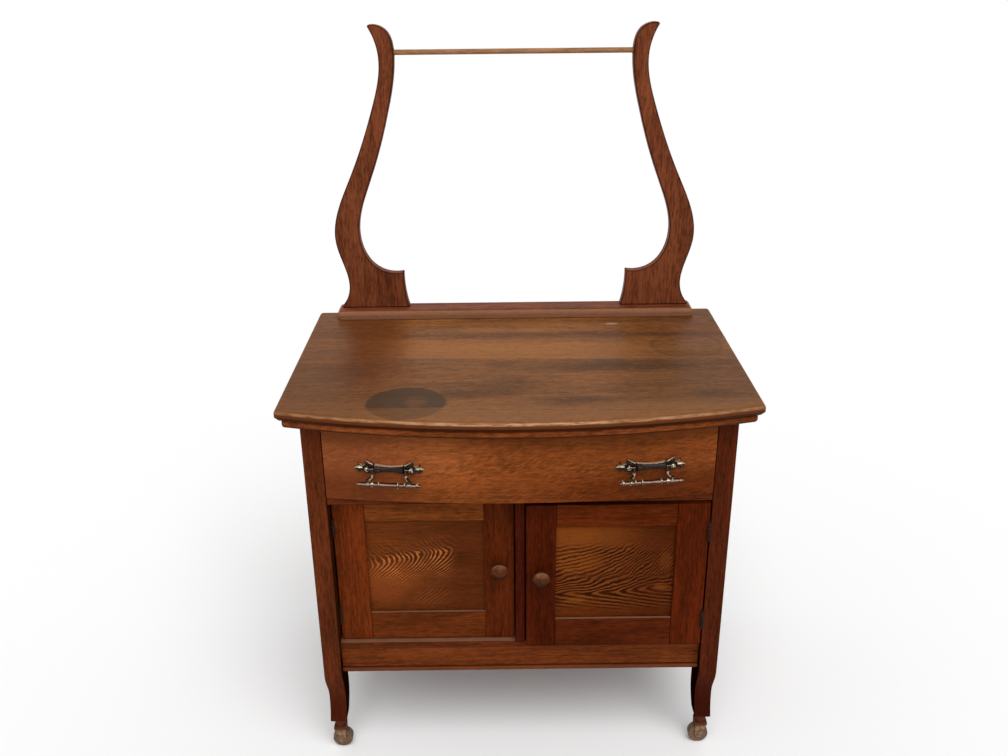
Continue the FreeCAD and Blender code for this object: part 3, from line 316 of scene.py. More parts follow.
def plain_oak(name, colour, grain, seed, contrast=1.0, ledge=None, gloss=BOARD_GLOSS):
    """Plain varnished oak; where a ledge's height is given, the ledge is pale with dust and a painted
    highlight.
    """
    oak = Oak(name, colour, grain, seed, contrast)
    wood = oak.body()
    if ledge:
        wood = oak.dusty_lit_ledge(wood, ledge)
    return oak.varnish(wood, gloss=gloss)


def oak_pair(name, colour, grain, seed, contrast=1.0, ledge=None):
    """The finish of a board's faces, and that of its edges, darker with old varnish and dirt in the joints
    and with painted shade where the edges round away.
    """
    return [plain_oak(name, colour, grain, seed, contrast, ledge),
            plain_oak(name + "_edge", tint(colour, EDGE_SHADE), grain, seed, contrast, ledge, gloss=0.0)]


RAY_SLANT = math.radians(24.0)
RAY_WAVES = (70.0, 20.0, 300.0)
RAY_PATCH_WAVES = (8.0, 14.0)
PALE_RAY = (0.52, 0.68)
PALE_RAY_PATCH = (0.38, 0.58)
DARK_RAY = (0.46, 0.32)
DARK_RAY_PATCH = (0.3, 0.5)
RED_END = (-0.1, -0.3)
RED_END_COLOUR = (0.105, 0.023, 0.0072)
SHADOW_UNDER_TOP = (0.668, 0.694)
SMUDGE_CENTRE = (0.03, 0.697)
SMUDGE_WIDTH = (0.05, 0.01)
SMUDGE_HEIGHT = (0.009, 0.002)
LIT_LEFT = (-0.03, -0.17)
LIT_UPPER = (0.598, 0.65)
DRAWER_PAINTED_LIGHT = (1.7, 1.95, 2.4)
SHADED_RIGHT = (-0.06, 0.14)
SHADED_LOWER = (0.635, 0.6)
DRAWER_PAINTED_SHADE = (0.49, 0.39, 0.3)


def quartered_oak(name, colour, seed):
    """Quartersawn oak for the drawer front: fine light rays lie aslant over the grain, in patches.

    The left end is redder; painted light makes the upper left paler, painted shade darkens the lower right,
    and a painted shadow darkens the strip under the top.
    """
    oak = Oak(name, colour, "X", seed, contrast=0.9)
    wood = oak.body()
    length, width = oak.turned(RAY_SLANT)
    ray_spot = oak.vector(length * RAY_WAVES[0] + seed, oak.y * RAY_WAVES[1], width * RAY_WAVES[2])
    ray = oak.noise(ray_spot, roughness=0.55, distortion=0.25)
    where = oak.noise(oak.vector(oak.x * RAY_PATCH_WAVES[0] + seed, oak.y, oak.z * RAY_PATCH_WAVES[1]))
    rays = oak.step(ray, *PALE_RAY) * oak.step(where, *PALE_RAY_PATCH)
    gaps = oak.step(ray, *DARK_RAY) * oak.step(where, *DARK_RAY_PATCH)
    wood = oak.mix(gaps * 0.55, wood, tint(colour, 0.55))
    wood = oak.mix(rays * 0.6, wood, tint(colour, 1.85))
    wood = oak.mix(oak.step(oak.x, *RED_END) * 0.7, wood, tint(RED_END_COLOUR))
    # Painted shadow under the moulding
    wood = oak.mix(oak.step(oak.z, *SHADOW_UNDER_TOP) * 0.5, wood, tint(colour, 0.3))
    smudge_across = oak.step(abs(oak.x - SMUDGE_CENTRE[0]), *SMUDGE_WIDTH)
    smudge_up = oak.step(abs(oak.z - SMUDGE_CENTRE[1]), *SMUDGE_HEIGHT)
    wood = oak.mix(smudge_across * smudge_up * 0.3, wood, tint(colour, 0.3))
    # Painted light on the upper left, and painted shade on the lower right
    wood = oak.dye(oak.step(oak.x, *LIT_LEFT) * oak.step(oak.z, *LIT_UPPER), wood, DRAWER_PAINTED_LIGHT)
    wood = oak.dye(oak.step(oak.x, *SHADED_RIGHT) * oak.step(oak.z, *SHADED_LOWER), wood, DRAWER_PAINTED_SHADE)
    return oak.varnish(wood, roughness=0.4, gloss=0.08)


def oval(oak, centre, reach, soft, wobble):
    """1 inside an ellipse on the top and 0 outside, with a wavering edge."""
    across = (oak.x - centre[0]) / reach[0]
    deep = (oak.y - centre[1]) / reach[1]
    far = (across * across + deep * deep).root() + wobble
    return oak.step(far, 1.0 + soft, 1.0 - soft)


# Each smear on the top has its centre, its reach and its strength
SMEARS = {
    "beside the stain": ((-0.06, -0.152), (0.085, 0.022), 0.55),
    "in the middle": ((0.0, -0.11), (0.045, 0.022), 0.4),
    "long, right": ((0.18, -0.04), (0.15, 0.022), 0.65),
    "front, right": ((0.09, -0.19), (0.05, 0.018), 0.5),
    "behind the middle": ((-0.03, -0.025), (0.03, 0.016), 0.35),
    "right end": ((0.325, -0.165), (0.045, 0.016), 0.4),
    "left end": ((-0.3, -0.05), (0.06, 0.03), 0.25),
    "back, right": ((0.2, 0.125), (0.2, 0.014), 0.4),
}
SMEAR_COLOUR = (0.036, 0.018, 0.008)
DRIFT_WAVES = (14.0, 40.0)
MOTTLE_WAVES = (90.0, 190.0)
DARK_MOTTLE = (0.5, 0.75)
PALE_MOTTLE = (0.48, 0.25)
BOARD_SLANT = 0.03
BOARD_JOINTS = (0.0, -0.222, 0.2)
JOINT_WIDTH = (0.0014, 0.0004)
END_SLANT = 0.1
SHEEN_END = (-0.27, -0.36)
SHEEN_COLOUR = (0.215, 0.09, 0.033)
FRONT_BOARD = (0.0, -0.003)
DULL_RIGHT = (0.12, 0.3)
DULL_DEPTH = (0.09, 0.02)
GOLD_LEFT = (-0.3, -0.16)
GOLD_RIGHT = (0.3, 0.14)
GOLD_BACK = (0.105, 0.07)
GOLD_COLOUR = (0.31, 0.118, 0.031)
BAND_PLACE = 0.122
BAND_WIDTH = (0.024, 0.008)
HARP_REFLECTION_LEFT = (-0.345, -0.3)
HARP_REFLECTION_RIGHT = (-0.17, -0.25)
HARP_REFLECTION_FRONT = (-0.17, -0.06)
HARP_REFLECTION_COLOUR = (0.13, 0.034, 0.01)
SHEEN_FRONT = (-0.17, -0.235)
RIPPLE_WAVES = 24.0
RIPPLE_REACH = 0.14
STAIN_CENTRE = (-0.190, -0.192)
STAIN_REACH = (0.066, 0.064)
STAIN_COLOUR = (0.053, 0.029, 0.014)
PALER_STAIN = (-0.208, -0.213)
FADED_CENTRE = (-0.174, -0.186)
FADED_REACH = (0.016, 0.022)
RING_CENTRE = (0.322, 0.06)
RING_REACH = (0.07, 0.064)
RING_INSIDE = 0.9
RING_SOFT = 0.06
SCRATCH_CENTRE = (0.193, 0.181)
SCRATCH_REACH = (0.012, 0.005)
SCRATCH_COLOUR = (0.42, 0.27, 0.17)
LEFT_END = (-0.19, -0.29)
LEFT_END_DYE = (0.8, 0.76, 0.72)
RIGHT_END = (0.09, 0.2)
RIGHT_END_DEPTH = (-0.2, -0.12)
RIGHT_END_DYE = (0.87, 0.85, 0.84)
BACK_CORNER = (0.2, 0.33)
BACK_CORNER_DEPTH = (0.05, 0.15)
BACK_CORNER_DYE = (0.76, 0.74, 0.82)


def top_oak(name, colour, seed, gloss):
    """The top: boards along its length, golden in the middle, with dark ends, smears, a stain and a ring, a
    painted sheen at the left end and along the front, and a painted red reflection of the left upright.
    """
    oak = Oak(name, colour, "X", seed, contrast=0.9)
    wood = oak.body()
    deep = oak.y + oak.x * BOARD_SLANT
    end = oak.x + oak.y * END_SLANT
    drift_spot = oak.vector(oak.x * DRIFT_WAVES[0], oak.y * DRIFT_WAVES[1], oak.z)
    drift = oak.noise(drift_spot, detail=4.0, roughness=0.65)
    # A painted sheen at the left end
    wood = oak.mix(oak.step(end, *SHEEN_END) * 0.3, wood, tint(SHEEN_COLOUR, 0.85))
    in_front = oak.step(deep, *FRONT_BOARD)
    wood = oak.mix(in_front * 0.22, wood, tint(SMEAR_COLOUR, 2.2))
    dull = oak.step(oak.x, *DULL_RIGHT) * oak.step(deep, *DULL_DEPTH)
    wood = oak.mix(dull * 0.34, wood, tint(SMEAR_COLOUR, 2.2))
    golden = oak.step(oak.x, *GOLD_LEFT) * oak.step(oak.x, *GOLD_RIGHT)
    golden = golden * oak.step(deep, *GOLD_BACK) * (1.0 - in_front)
    wood = oak.mix(golden * (drift * 0.5 + 0.3), wood, tint(GOLD_COLOUR))
    band = oak.step(abs(deep - BAND_PLACE), *BAND_WIDTH)
    wood = oak.mix(band * drift * 0.55, wood, tint(SMEAR_COLOUR, 1.6))
    # A painted red reflection of the left upright, with softened edges
    ragged = end + (drift - 0.5) * 0.05
    red = oak.step(ragged, *HARP_REFLECTION_LEFT) * oak.step(ragged, *HARP_REFLECTION_RIGHT) * oak.step(oak.y, *HARP_REFLECTION_FRONT)
    wood = oak.mix(red * 0.6, wood, tint(HARP_REFLECTION_COLOUR))
    # A painted sheen along the front
    wood = oak.mix(oak.step(oak.y, *SHEEN_FRONT) * 0.65, wood, tint(SHEEN_COLOUR, 1.1))
    for joint in BOARD_JOINTS:
        line = oak.step(abs(deep - joint), *JOINT_WIDTH)
        wood = oak.mix(line * 0.35, wood, tint(SMEAR_COLOUR))
    wobble = (drift - 0.5) * 1.5
    for centre, reach, strength in SMEARS.values():
        smear = oval(oak, centre, reach, soft=0.75, wobble=wobble)
        wood = oak.mix(smear * strength, wood, tint(SMEAR_COLOUR))
    mottle_spot = oak.vector(oak.x * MOTTLE_WAVES[0], oak.y * MOTTLE_WAVES[1], seed)
    mottle = oak.noise(mottle_spot, detail=3.0, roughness=0.7)
    wood = oak.mix(oak.step(mottle, *DARK_MOTTLE) * 0.4, wood, tint(SMEAR_COLOUR, 1.5))
    wood = oak.mix(oak.step(mottle, *PALE_MOTTLE) * 0.3, wood, tint(colour, 1.7))
    wood = stained(oak, wood, drift, wobble)
    wood = oak.dye(oak.step(oak.x, *LEFT_END), wood, LEFT_END_DYE)
    wood = oak.dye(oak.step(oak.x, *RIGHT_END) * oak.step(oak.y, *RIGHT_END_DEPTH), wood, RIGHT_END_DYE)
    corner = oak.step(oak.x, *BACK_CORNER) * oak.step(oak.y, *BACK_CORNER_DEPTH)
    wood = oak.dye(corner, wood, BACK_CORNER_DYE)
    return oak.varnish(nose_wear_and_highlight(oak, wood), gloss=gloss)


def stained(oak, wood, drift, wobble):
    """The round stain, paler in front and faded at one place, then the faint ring and the scratch."""
    ripple_spot = oak.vector(oak.x * RIPPLE_WAVES, oak.y * RIPPLE_WAVES, oak.seed)
    ripple = oak.waver(ripple_spot) * RIPPLE_REACH
    stain = oval(oak, STAIN_CENTRE, STAIN_REACH, soft=0.05, wobble=ripple)
    paler = oak.step(oak.y, *PALER_STAIN)
    faded = oval(oak, FADED_CENTRE, FADED_REACH, soft=0.5, wobble=wobble * 0.5)
    dark = oak.mix(drift * 0.5, tint(STAIN_COLOUR), tint(STAIN_COLOUR, 0.7))
    wood = oak.mix(stain * (0.85 - paler * 0.4 - faded * 0.3), wood, dark)
    outer = oval(oak, RING_CENTRE, RING_REACH, RING_SOFT, ripple)
    inner = oval(oak, RING_CENTRE, [reach * RING_INSIDE for reach in RING_REACH], RING_SOFT, ripple)
    wood = oak.mix(outer * 0.12 + (outer - inner) * 0.2, wood, tint(SMEAR_COLOUR))
    scratch = oval(oak, SCRATCH_CENTRE, SCRATCH_REACH, soft=0.3, wobble=wobble * 0.6)
    return oak.mix(scratch * 0.8, wood, tint(SCRATCH_COLOUR))


WEAR_WAVES = (40.0, 40.0, 400.0)
WORN_PART = (0.3, 0.65)
NOSE_DARK = (0.7485, 0.746)
NOSE_COLOUR = (0.105, 0.026, 0.005)
WEAR_AND_HIGHLIGHT_ABOVE = (0.7506, 0.7494)
WEAR_AND_HIGHLIGHT_BELOW = (0.7448, 0.7466)
WEAR_AND_HIGHLIGHT_MIDDLE = 0.02
WEAR_AND_HIGHLIGHT_REACH = (0.4, 0.05)
WORN_EDGE_AND_HIGHLIGHT_COLOUR = (0.6, 0.33, 0.19)
UNDERCUT = (0.7415, 0.739)
UNDERCUT_SHADE_COLOUR = (0.026, 0.003, 0.0006)


def nose_wear_and_highlight(oak, wood):
    """The edge of the top: a thin pale line on its round, worn and with a painted highlight, dark red below
    it, and painted shade on the undercut.
    """
    wear_spot = oak.vector(oak.x * WEAR_WAVES[0], oak.y * WEAR_WAVES[1], oak.z * WEAR_WAVES[2])
    wear = oak.noise(wear_spot, detail=3.0, roughness=0.7)
    wood = oak.mix(oak.step(oak.z, *NOSE_DARK) * 0.85, wood, tint(NOSE_COLOUR))
    # Wear and a painted highlight along the round
    line = oak.step(oak.z, *WEAR_AND_HIGHLIGHT_ABOVE) * oak.step(oak.z, *WEAR_AND_HIGHLIGHT_BELOW)
    middle = oak.step(abs(oak.x - WEAR_AND_HIGHLIGHT_MIDDLE), *WEAR_AND_HIGHLIGHT_REACH)
    worn = line * oak.step(wear, *WORN_PART) * (middle * 0.5 + 0.3)
    wood = oak.mix(worn, wood, tint(WORN_EDGE_AND_HIGHLIGHT_COLOUR))
    # Painted shade on the undercut
    return oak.mix(oak.step(oak.z, *UNDERCUT) * 0.85, wood, tint(UNDERCUT_SHADE_COLOUR))


PANEL_LAP = 0.008
PANEL_GOLD = (0.215, 0.058, 0.0085)
PANEL_OLIVE = (0.16, 0.064, 0.005)
PANEL_PALE_DYE = (1.14, 1.12, 1.08)
PANEL_DARK_DYE = (0.8, 0.74, 0.76)
FLAME_DYE = (1.05, 1.4, 1.6)


class FlamePanel(Oak):
    """Plain-sawn oak on a door panel. Its places u and v run from 0 to 1 over the part that shows."""

    BITES = (60.0, 420.0)
    BITE_DEPTH = 2.2
    SWAYS = (26.0, 30.0)
    SWELLS = (9.0, 12.0)
    RIPPLES = (75.0, 90.0)
    DARK_LINE = (0.1, -0.6)
    LIGHT_LINE = (0.15, 0.8)
    DASHES = (85.0, 460.0)
    DARK_DASH = (0.45, 0.3)
    LIGHT_DASH = (0.55, 0.7)
    PALE_END = (0.5, 0.15)
    DARK_END = (0.5, 0.8)
    PATCH_EDGE = (1.2, 0.5)

    def __init__(self, name, colour, seed, panel):
        super().__init__(name, colour, "X", seed, contrast=0.55)
        low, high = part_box(panel)
        width = high[0] - low[0] - PANEL_LAP * 2.0
        self.height = high[2] - low[2] - PANEL_LAP * 2.0
        self.flame = dyed(colour, FLAME_DYE)
        self.u = (self.x - (low[0] + PANEL_LAP)) / width
        self.v = (self.z - (low[2] + PANEL_LAP)) / self.height
        self.sway = self.wander(self.SWAYS)
        self.swell = self.wander(self.SWELLS, detail=1.0)
        self.ripple = self.wander(self.RIPPLES)
        self.bite = self.waver(self.stretched(self.BITES), roughness=0.6)

    def wander(self, waves, detail=2.0):
        """Noise about zero, with so many waves to the metre across the panel and up it."""
        across, up = waves
        return self.waver(self.vector(self.x * across + self.seed, self.y, self.z * up), detail)

    def stripes(self, wood, reach, period, where, dark, light):
        """Dark and light lines, one of each in a period; each has a factor on the colour and a share."""
        wave = (reach * (2.0 * math.pi / period)).sine() + self.bite * self.BITE_DEPTH
        darker = self.step(wave, *self.DARK_LINE) * where * dark[1]
        lighter = self.step(wave, *self.LIGHT_LINE) * where * light[1]
        wood = self.mix(darker, wood, tint(self.colour, dark[0]))
        return self.mix(lighter, wood, tint(self.flame, light[0]))

    def fine_grain(self, wood, angle, where):
        """Short thin dashes of grain that lie at an angle."""
        length, width = self.turned(angle)
        dash_spot = self.vector(length * self.DASHES[0], self.y, width * self.DASHES[1])
        dash = self.noise(dash_spot, detail=1.0, distortion=0.2)
        wood = self.mix(self.step(dash, *self.LIGHT_DASH) * where, wood, tint(self.colour, 1.7))
        return self.mix(self.step(dash, *self.DARK_DASH) * where, wood, tint(self.colour, 0.5))

    def graded(self, wood):
        """Paler at the panel's left end, darker at its right end."""
        wood = self.dye(self.step(self.u, *self.PALE_END), wood, PANEL_PALE_DYE)
        return self.dye(self.step(self.u, *self.DARK_END), wood, PANEL_DARK_DYE)

    def patch_at(self, u, v, wide, tall):
        """1 inside a soft ellipse on the panel and 0 outside."""
        across = (self.u - u) / wide
        up = (self.v - v) / tall
        return self.step((across * across + up * up).root() + self.sway * 0.8, *self.PATCH_EDGE)


ARC_PERIOD = 0.0089
ARC_RISE = 0.17
ARC_START = 0.53
ARC_ROUND = 0.00012
ARC_SLOPE = 0.85
ARC_TAIL = 13.0
ARC_LEFT = (-0.1, 0.25)
ARC_RIGHT = (0.78, 0.64)
ARC_UPPER = (0.016, 0.006)
ARC_LOWER = (-0.075, -0.008)
FADED_ARC = (-0.25, 0.1)
ECHO_RIGHT = (0.95, 0.6)
ECHO_UPPER = (0.05, 0.02)
ECHO_LOWER = (0.002, 0.012)
LEFT_GOLD = (0.12, 0.34, 0.34, 0.26)
STROKE_PATCHES = ((0.55, 0.17, 0.2, 0.1), (0.8, 0.42, 0.12, 0.06))
STROKE_PERIOD = 0.006
STROKE_ANGLE = math.radians(40.0)
LEFT_GRAIN_ANGLE = math.radians(24.0)
LEFT_GRAIN = (0.6, 0.3)


def left_panel_oak(name, colour, seed):
    """Nested arcs that open to the left along a rising line, with long tails, and fine grain below them."""
    oak = FlamePanel(name, colour, seed, "door_left_panel")
    wood = oak.body()
    rise = (oak.v - (oak.u * ARC_RISE + ARC_START)) * oak.height + oak.sway * 0.02 + oak.ripple * 0.006
    below = (rise * -1.0).most(0.0)
    bend = (rise * rise + ARC_ROUND).root() * ARC_SLOPE + below * below * ARC_TAIL
    reach = oak.x + bend + oak.swell * 0.04 + oak.sway * 0.016 + oak.ripple * 0.007
    across = oak.step(oak.u, *ARC_LEFT) * oak.step(oak.u, *ARC_RIGHT)
    fade = oak.step(oak.swell * 0.5 + oak.sway * 0.9, *FADED_ARC) * 0.7 + 0.3
    flame = across * oak.step(rise, *ARC_UPPER) * oak.step(rise, *ARC_LOWER) * fade
    echo = oak.step(oak.u, *ECHO_RIGHT) * oak.step(rise, *ECHO_UPPER) * oak.step(rise, *ECHO_LOWER) * fade
    golden = oak.patch_at(*LEFT_GOLD)
    wood = oak.mix(golden * 0.5, wood, tint(colour, 2.0))
    wood = oak.fine_grain(wood, LEFT_GRAIN_ANGLE, golden * 0.25 + oak.step(oak.v, *LEFT_GRAIN) * 0.22)
    aslant = oak.x * math.sin(STROKE_ANGLE) - oak.z * math.cos(STROKE_ANGLE) + oak.sway * 0.012
    strokes = oak.patch_at(*STROKE_PATCHES[0]) + oak.patch_at(*STROKE_PATCHES[1])
    wood = oak.stripes(wood, aslant, STROKE_PERIOD, strokes * fade, dark=(0.6, 0.3), light=(2.2, 0.4))
    wood = oak.stripes(wood, reach, ARC_PERIOD, flame, dark=(0.45, 0.8), light=(4.1, 1.0))
    wood = oak.stripes(wood, reach, ARC_PERIOD, echo, dark=(0.6, 0.35), light=(2.0, 0.35))
    return oak.varnish(oak.graded(wood))


LINE_PERIOD = 0.0076
LINE_SLOPE = 0.16
FLAME_START = 0.2
FLAME_CURVE = 0.157
FLAME_LICK = 0.06
POINT_PERIOD = 0.0078
POINT_RISE = 0.06
POINT_START = 0.25
POINT_ROUND = 0.00001
POINT_SLOPE = 0.24
RIGHT_GRAIN_ANGLE = math.radians(10.0)
LICKS = (38.0, 16.0)
FADED_LINE = (-0.35, 0.15)
LINES_UPPER = (0.84, 0.74)
LINES_LOWER = (0.05, 0.17)
FLAMES_OVER_POINTS = (0.4, 0.5)
STRIP_LOWER = (0.7, 0.82)
STRIP_RIGHT = (1.0, 0.2)
TAN_PATCHES = ((0.12, 0.62, 0.3, 0.14), (0.93, 0.6, 0.06, 0.1))
RIGHT_GOLD = (0.9, 0.34, 0.06, 0.035)
OLIVE_PATCH = (0.17, 0.19, 0.1, 0.03)
DARK_PATCH = (0.02, 0.18, 0.05, 0.04)


def right_panel_oak(name, colour, seed):
    """Lines that steepen into flames at the upper right, points to the left below, a golden strip above."""
    oak = FlamePanel(name, colour, seed, "door_right_panel")
    wood = oak.body()
    drift = oak.sway * 0.012 + oak.ripple * 0.006 + oak.swell * 0.024
    ahead = (oak.u - FLAME_START).most(0.0)
    lick = oak.wander(LICKS)
    steeper = oak.z - oak.x * LINE_SLOPE - ahead * ahead * FLAME_CURVE
    rising = steeper + lick * ahead * FLAME_LICK + drift
    middle = (oak.v - (oak.u * POINT_RISE + POINT_START)) * oak.height + drift * 0.7
    point = (middle * middle + POINT_ROUND).root() - oak.x * POINT_SLOPE
    pointed = point + oak.swell * 0.03 + oak.sway * 0.01
    fade = oak.step(oak.swell * 0.6 + oak.sway * 0.9 + oak.bite * 0.4, *FADED_LINE) * 0.7 + 0.3
    ragged = oak.v + oak.sway * 0.12
    lines = oak.step(ragged, *LINES_UPPER) * oak.step(ragged, *LINES_LOWER) * fade
    upper = oak.step(oak.v + oak.sway * 0.2, *FLAMES_OVER_POINTS)
    lower = 1.0 - upper
    strip = oak.step(oak.v, *STRIP_LOWER) * oak.step(oak.u, *STRIP_RIGHT)
    wood = oak.mix(strip * 0.6, wood, tint(PANEL_GOLD))
    wood = oak.fine_grain(wood, RIGHT_GRAIN_ANGLE, 0.3)
    tan = oak.patch_at(*TAN_PATCHES[0]) + oak.patch_at(*TAN_PATCHES[1])
    wood = oak.mix(tan * 0.5, wood, tint(PANEL_GOLD))
    wood = oak.mix(oak.patch_at(*RIGHT_GOLD) * 0.7, wood, tint(PANEL_GOLD))
    wood = oak.stripes(wood, rising, LINE_PERIOD, lines * upper, dark=(0.25, 0.92), light=(2.5, 0.68))
    wood = oak.stripes(wood, pointed, POINT_PERIOD, lines * lower, dark=(0.2, 0.95), light=(2.3, 0.68))
    wood = oak.mix(oak.patch_at(*OLIVE_PATCH) * 0.5, wood, tint(PANEL_OLIVE))
    wood = oak.mix(oak.patch_at(*DARK_PATCH) * 0.6, wood, tint(colour, 0.3))
    return oak.varnish(oak.graded(wood))


FOOT_DARKENING = (0.42, 0.22, 0.22)
FOOT = (0.2, 0.1)
FOOT_SHARE = {"left": 0.7, "right": 0.84}
SHADED_FOOT_HEIGHT = (0.24, 0.2)
INNER_SIDE = (0.3, 0.7)
INWARD = {"left": 1.0, "right": -1.0}
POST_GLOSS = 0.03


def post_oak(name, colour, seed, side, gloss):
    """A post at one side. It is darker towards the floor, and painted shade darkens its foot where it looks
    inward.
    """
    oak = Oak(name, colour, "Z", seed)
    # Darker towards the floor
    darker_foot = oak.step(oak.z, *FOOT) * FOOT_SHARE[side]
    wood = oak.mix(darker_foot, oak.body(), tint(dyed(colour, FOOT_DARKENING)))
    # Painted shade on the foot's inner side
    shaded_inside = oak.step(oak.facing("X") * INWARD[side], *INNER_SIDE) * oak.step(oak.z, *SHADED_FOOT_HEIGHT)
    return oak.varnish(oak.mix(shaded_inside * 0.92, wood, tint(colour, 0.18)), gloss=gloss)


MOULDING_DARK_END = (0.2, 0.4)
MOULDING_QUIRK_SHADOW = (0.006, 0.003)


def moulding_oak(name, colour, grain, seed):
    """The moulding under the top: a painted shadow along its lower edge, and a darker right end."""
    oak = Oak(name, colour, grain, seed, contrast=1.2)
    low = lowest("moulding_front")
    wood = oak.mix(oak.step(oak.x, *MOULDING_DARK_END) * 0.6, oak.body(), tint(colour, 0.4))
    # Painted shadow along the lower edge
    quirk = oak.step(oak.z, low + MOULDING_QUIRK_SHADOW[0], low + MOULDING_QUIRK_SHADOW[1])
    return oak.varnish(oak.mix(quirk * 0.9, wood, tint(colour, 0.12)))


BEAD_HEIGHT = 0.011
BEAD_SOFT = 0.002
BEAD_COLOUR = (0.15, 0.045, 0.02)
BEAD_QUIRK_SHADE = (0.0022, 0.0008)
APRON_FOOT = (0.003, 0.001)


def apron_oak(name, colour, seed):
    """The apron: a reddish bead along its foot, painted shade in the quirk over it, and darker along its
    lowest edge.
    """
    oak = Oak(name, colour, "X", seed)
    low = lowest("apron_rail")
    bead_top = low + BEAD_HEIGHT
    wood = oak.mix(oak.step(oak.z, bead_top, bead_top - BEAD_SOFT) * 0.45, oak.body(), tint(BEAD_COLOUR))
    # Painted shade in the quirk over the bead
    quirk = oak.step(abs(oak.z - bead_top), *BEAD_QUIRK_SHADE)
    foot = oak.step(oak.z, low + APRON_FOOT[0], low + APRON_FOOT[1])
    return oak.varnish(oak.mix((quirk * 0.7).most(foot * 0.8), wood, tint(colour, 0.2)))


RAIL_RUB_WAVES = (110.0, 300.0, 500.0)
RAIL_ROUND = (0.0004, 0.0018)
RAIL_ROUND_WEAR_AND_HIGHLIGHT = (0.28, 0.135, 0.074)
RAIL_FOOT = (0.0155, 0.0175)


def rail_oak(name, colour, seed):
    """The rail along the back of the top: its round is pale, with rubbing and a painted highlight, and it is
    darker along its foot.
    """
    oak = Oak(name, colour, "X", seed, contrast=1.1)
    wood = oak.body()
    high = highest("harp_base_rail")
    across, deep, up = RAIL_RUB_WAVES
    rub = oak.noise(oak.vector(oak.x * across, oak.y * deep, oak.z * up), roughness=0.6)
    round_part = oak.step(oak.z, high - RAIL_ROUND[0], high - RAIL_ROUND[1])
    # Rubbing and a painted highlight on the round
    wood = oak.mix(round_part * (rub * 0.7 + 0.35), wood, tint(RAIL_ROUND_WEAR_AND_HIGHLIGHT))
    foot = oak.step(oak.z, high - RAIL_FOOT[0], high - RAIL_FOOT[1])
    # Darker along the foot
    return oak.varnish(oak.mix(foot * 0.8, wood, tint(colour, 0.3)))


def bare_wood(name, colour, grain, seed):
    """Planed wood with no varnish, as inside the drawer and the cupboard."""
    oak = Oak(name, colour, grain, seed, contrast=0.5)
    return oak.varnish(oak.body(), roughness=0.75, gloss=0.04)


WHEEL_RUB_WAVES = 70.0
RUBBED_WHEEL = (0.5, 0.7)


def turned_wheel(name, colour, seed):
    """The worn wood of a wheel, with rubbed patches."""
    oak = Oak(name, colour, "Y", seed, contrast=0.9)
    x, y, z = (place * WHEEL_RUB_WAVES for place in (oak.x, oak.y, oak.z))
    rub = oak.noise(oak.vector(x, y, z + seed), detail=3.0)
    wood = oak.mix(oak.step(rub, *RUBBED_WHEEL) * 0.3, oak.body(), tint(colour, 1.8))
    return oak.varnish(wood, roughness=0.6, gloss=0.05)


KNOB_CROWN_WEAR_AND_HIGHLIGHT = (0.225, 0.095, 0.045)
KNOB_RUB_WAVES = 90.0
KNOB_UNDERSIDE_SHADE = (0.1, -0.5)
KNOB_CROWN = (0.25, 0.9)
KNOB_HEAD = 0.014
KNOB_NECK_SOFT = 0.004


def rubbed_and_lit_knob(name, colour, seed, front):
    """A turned knob, pale on its crown with rubbing by hands and a painted highlight; painted shade darkens
    its underside and its neck.
    """
    oak = Oak(name, colour, "Y", seed, contrast=0.9)
    x, y, z = (place * KNOB_RUB_WAVES for place in (oak.x, oak.y, oak.z))
    rub = oak.waver(oak.vector(x, y, z + seed), detail=3.0)
    up = oak.facing("Z") + rub * 0.8
    # Painted shade on the underside
    wood = oak.mix(oak.step(up, *KNOB_UNDERSIDE_SHADE) * 0.85, oak.body(), tint(colour, 0.22))
    # Rubbing and a painted highlight on the crown
    wood = oak.mix(oak.step(up, *KNOB_CROWN) * 0.85, wood, tint(KNOB_CROWN_WEAR_AND_HIGHLIGHT))
    # Painted shade on the neck
    neck = oak.step(oak.y, front + KNOB_HEAD, front + KNOB_HEAD + KNOB_NECK_SOFT)
    return oak.varnish(oak.mix(neck * 0.9, wood, tint(colour, 0.2)), roughness=0.36, gloss=0.03)


PULL_PLACE = sum(corner[0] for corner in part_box("bail_right")) / 2.0
COLUMN_HALF = 0.0255
COLUMN_SOFT = 0.003
PLATING_CLOUDS = 420.0
PLATING_GRIT = 1500.0
PLATING_RELIEF = 0.0003
RUBBED_PLATING = (0.62, 0.86)


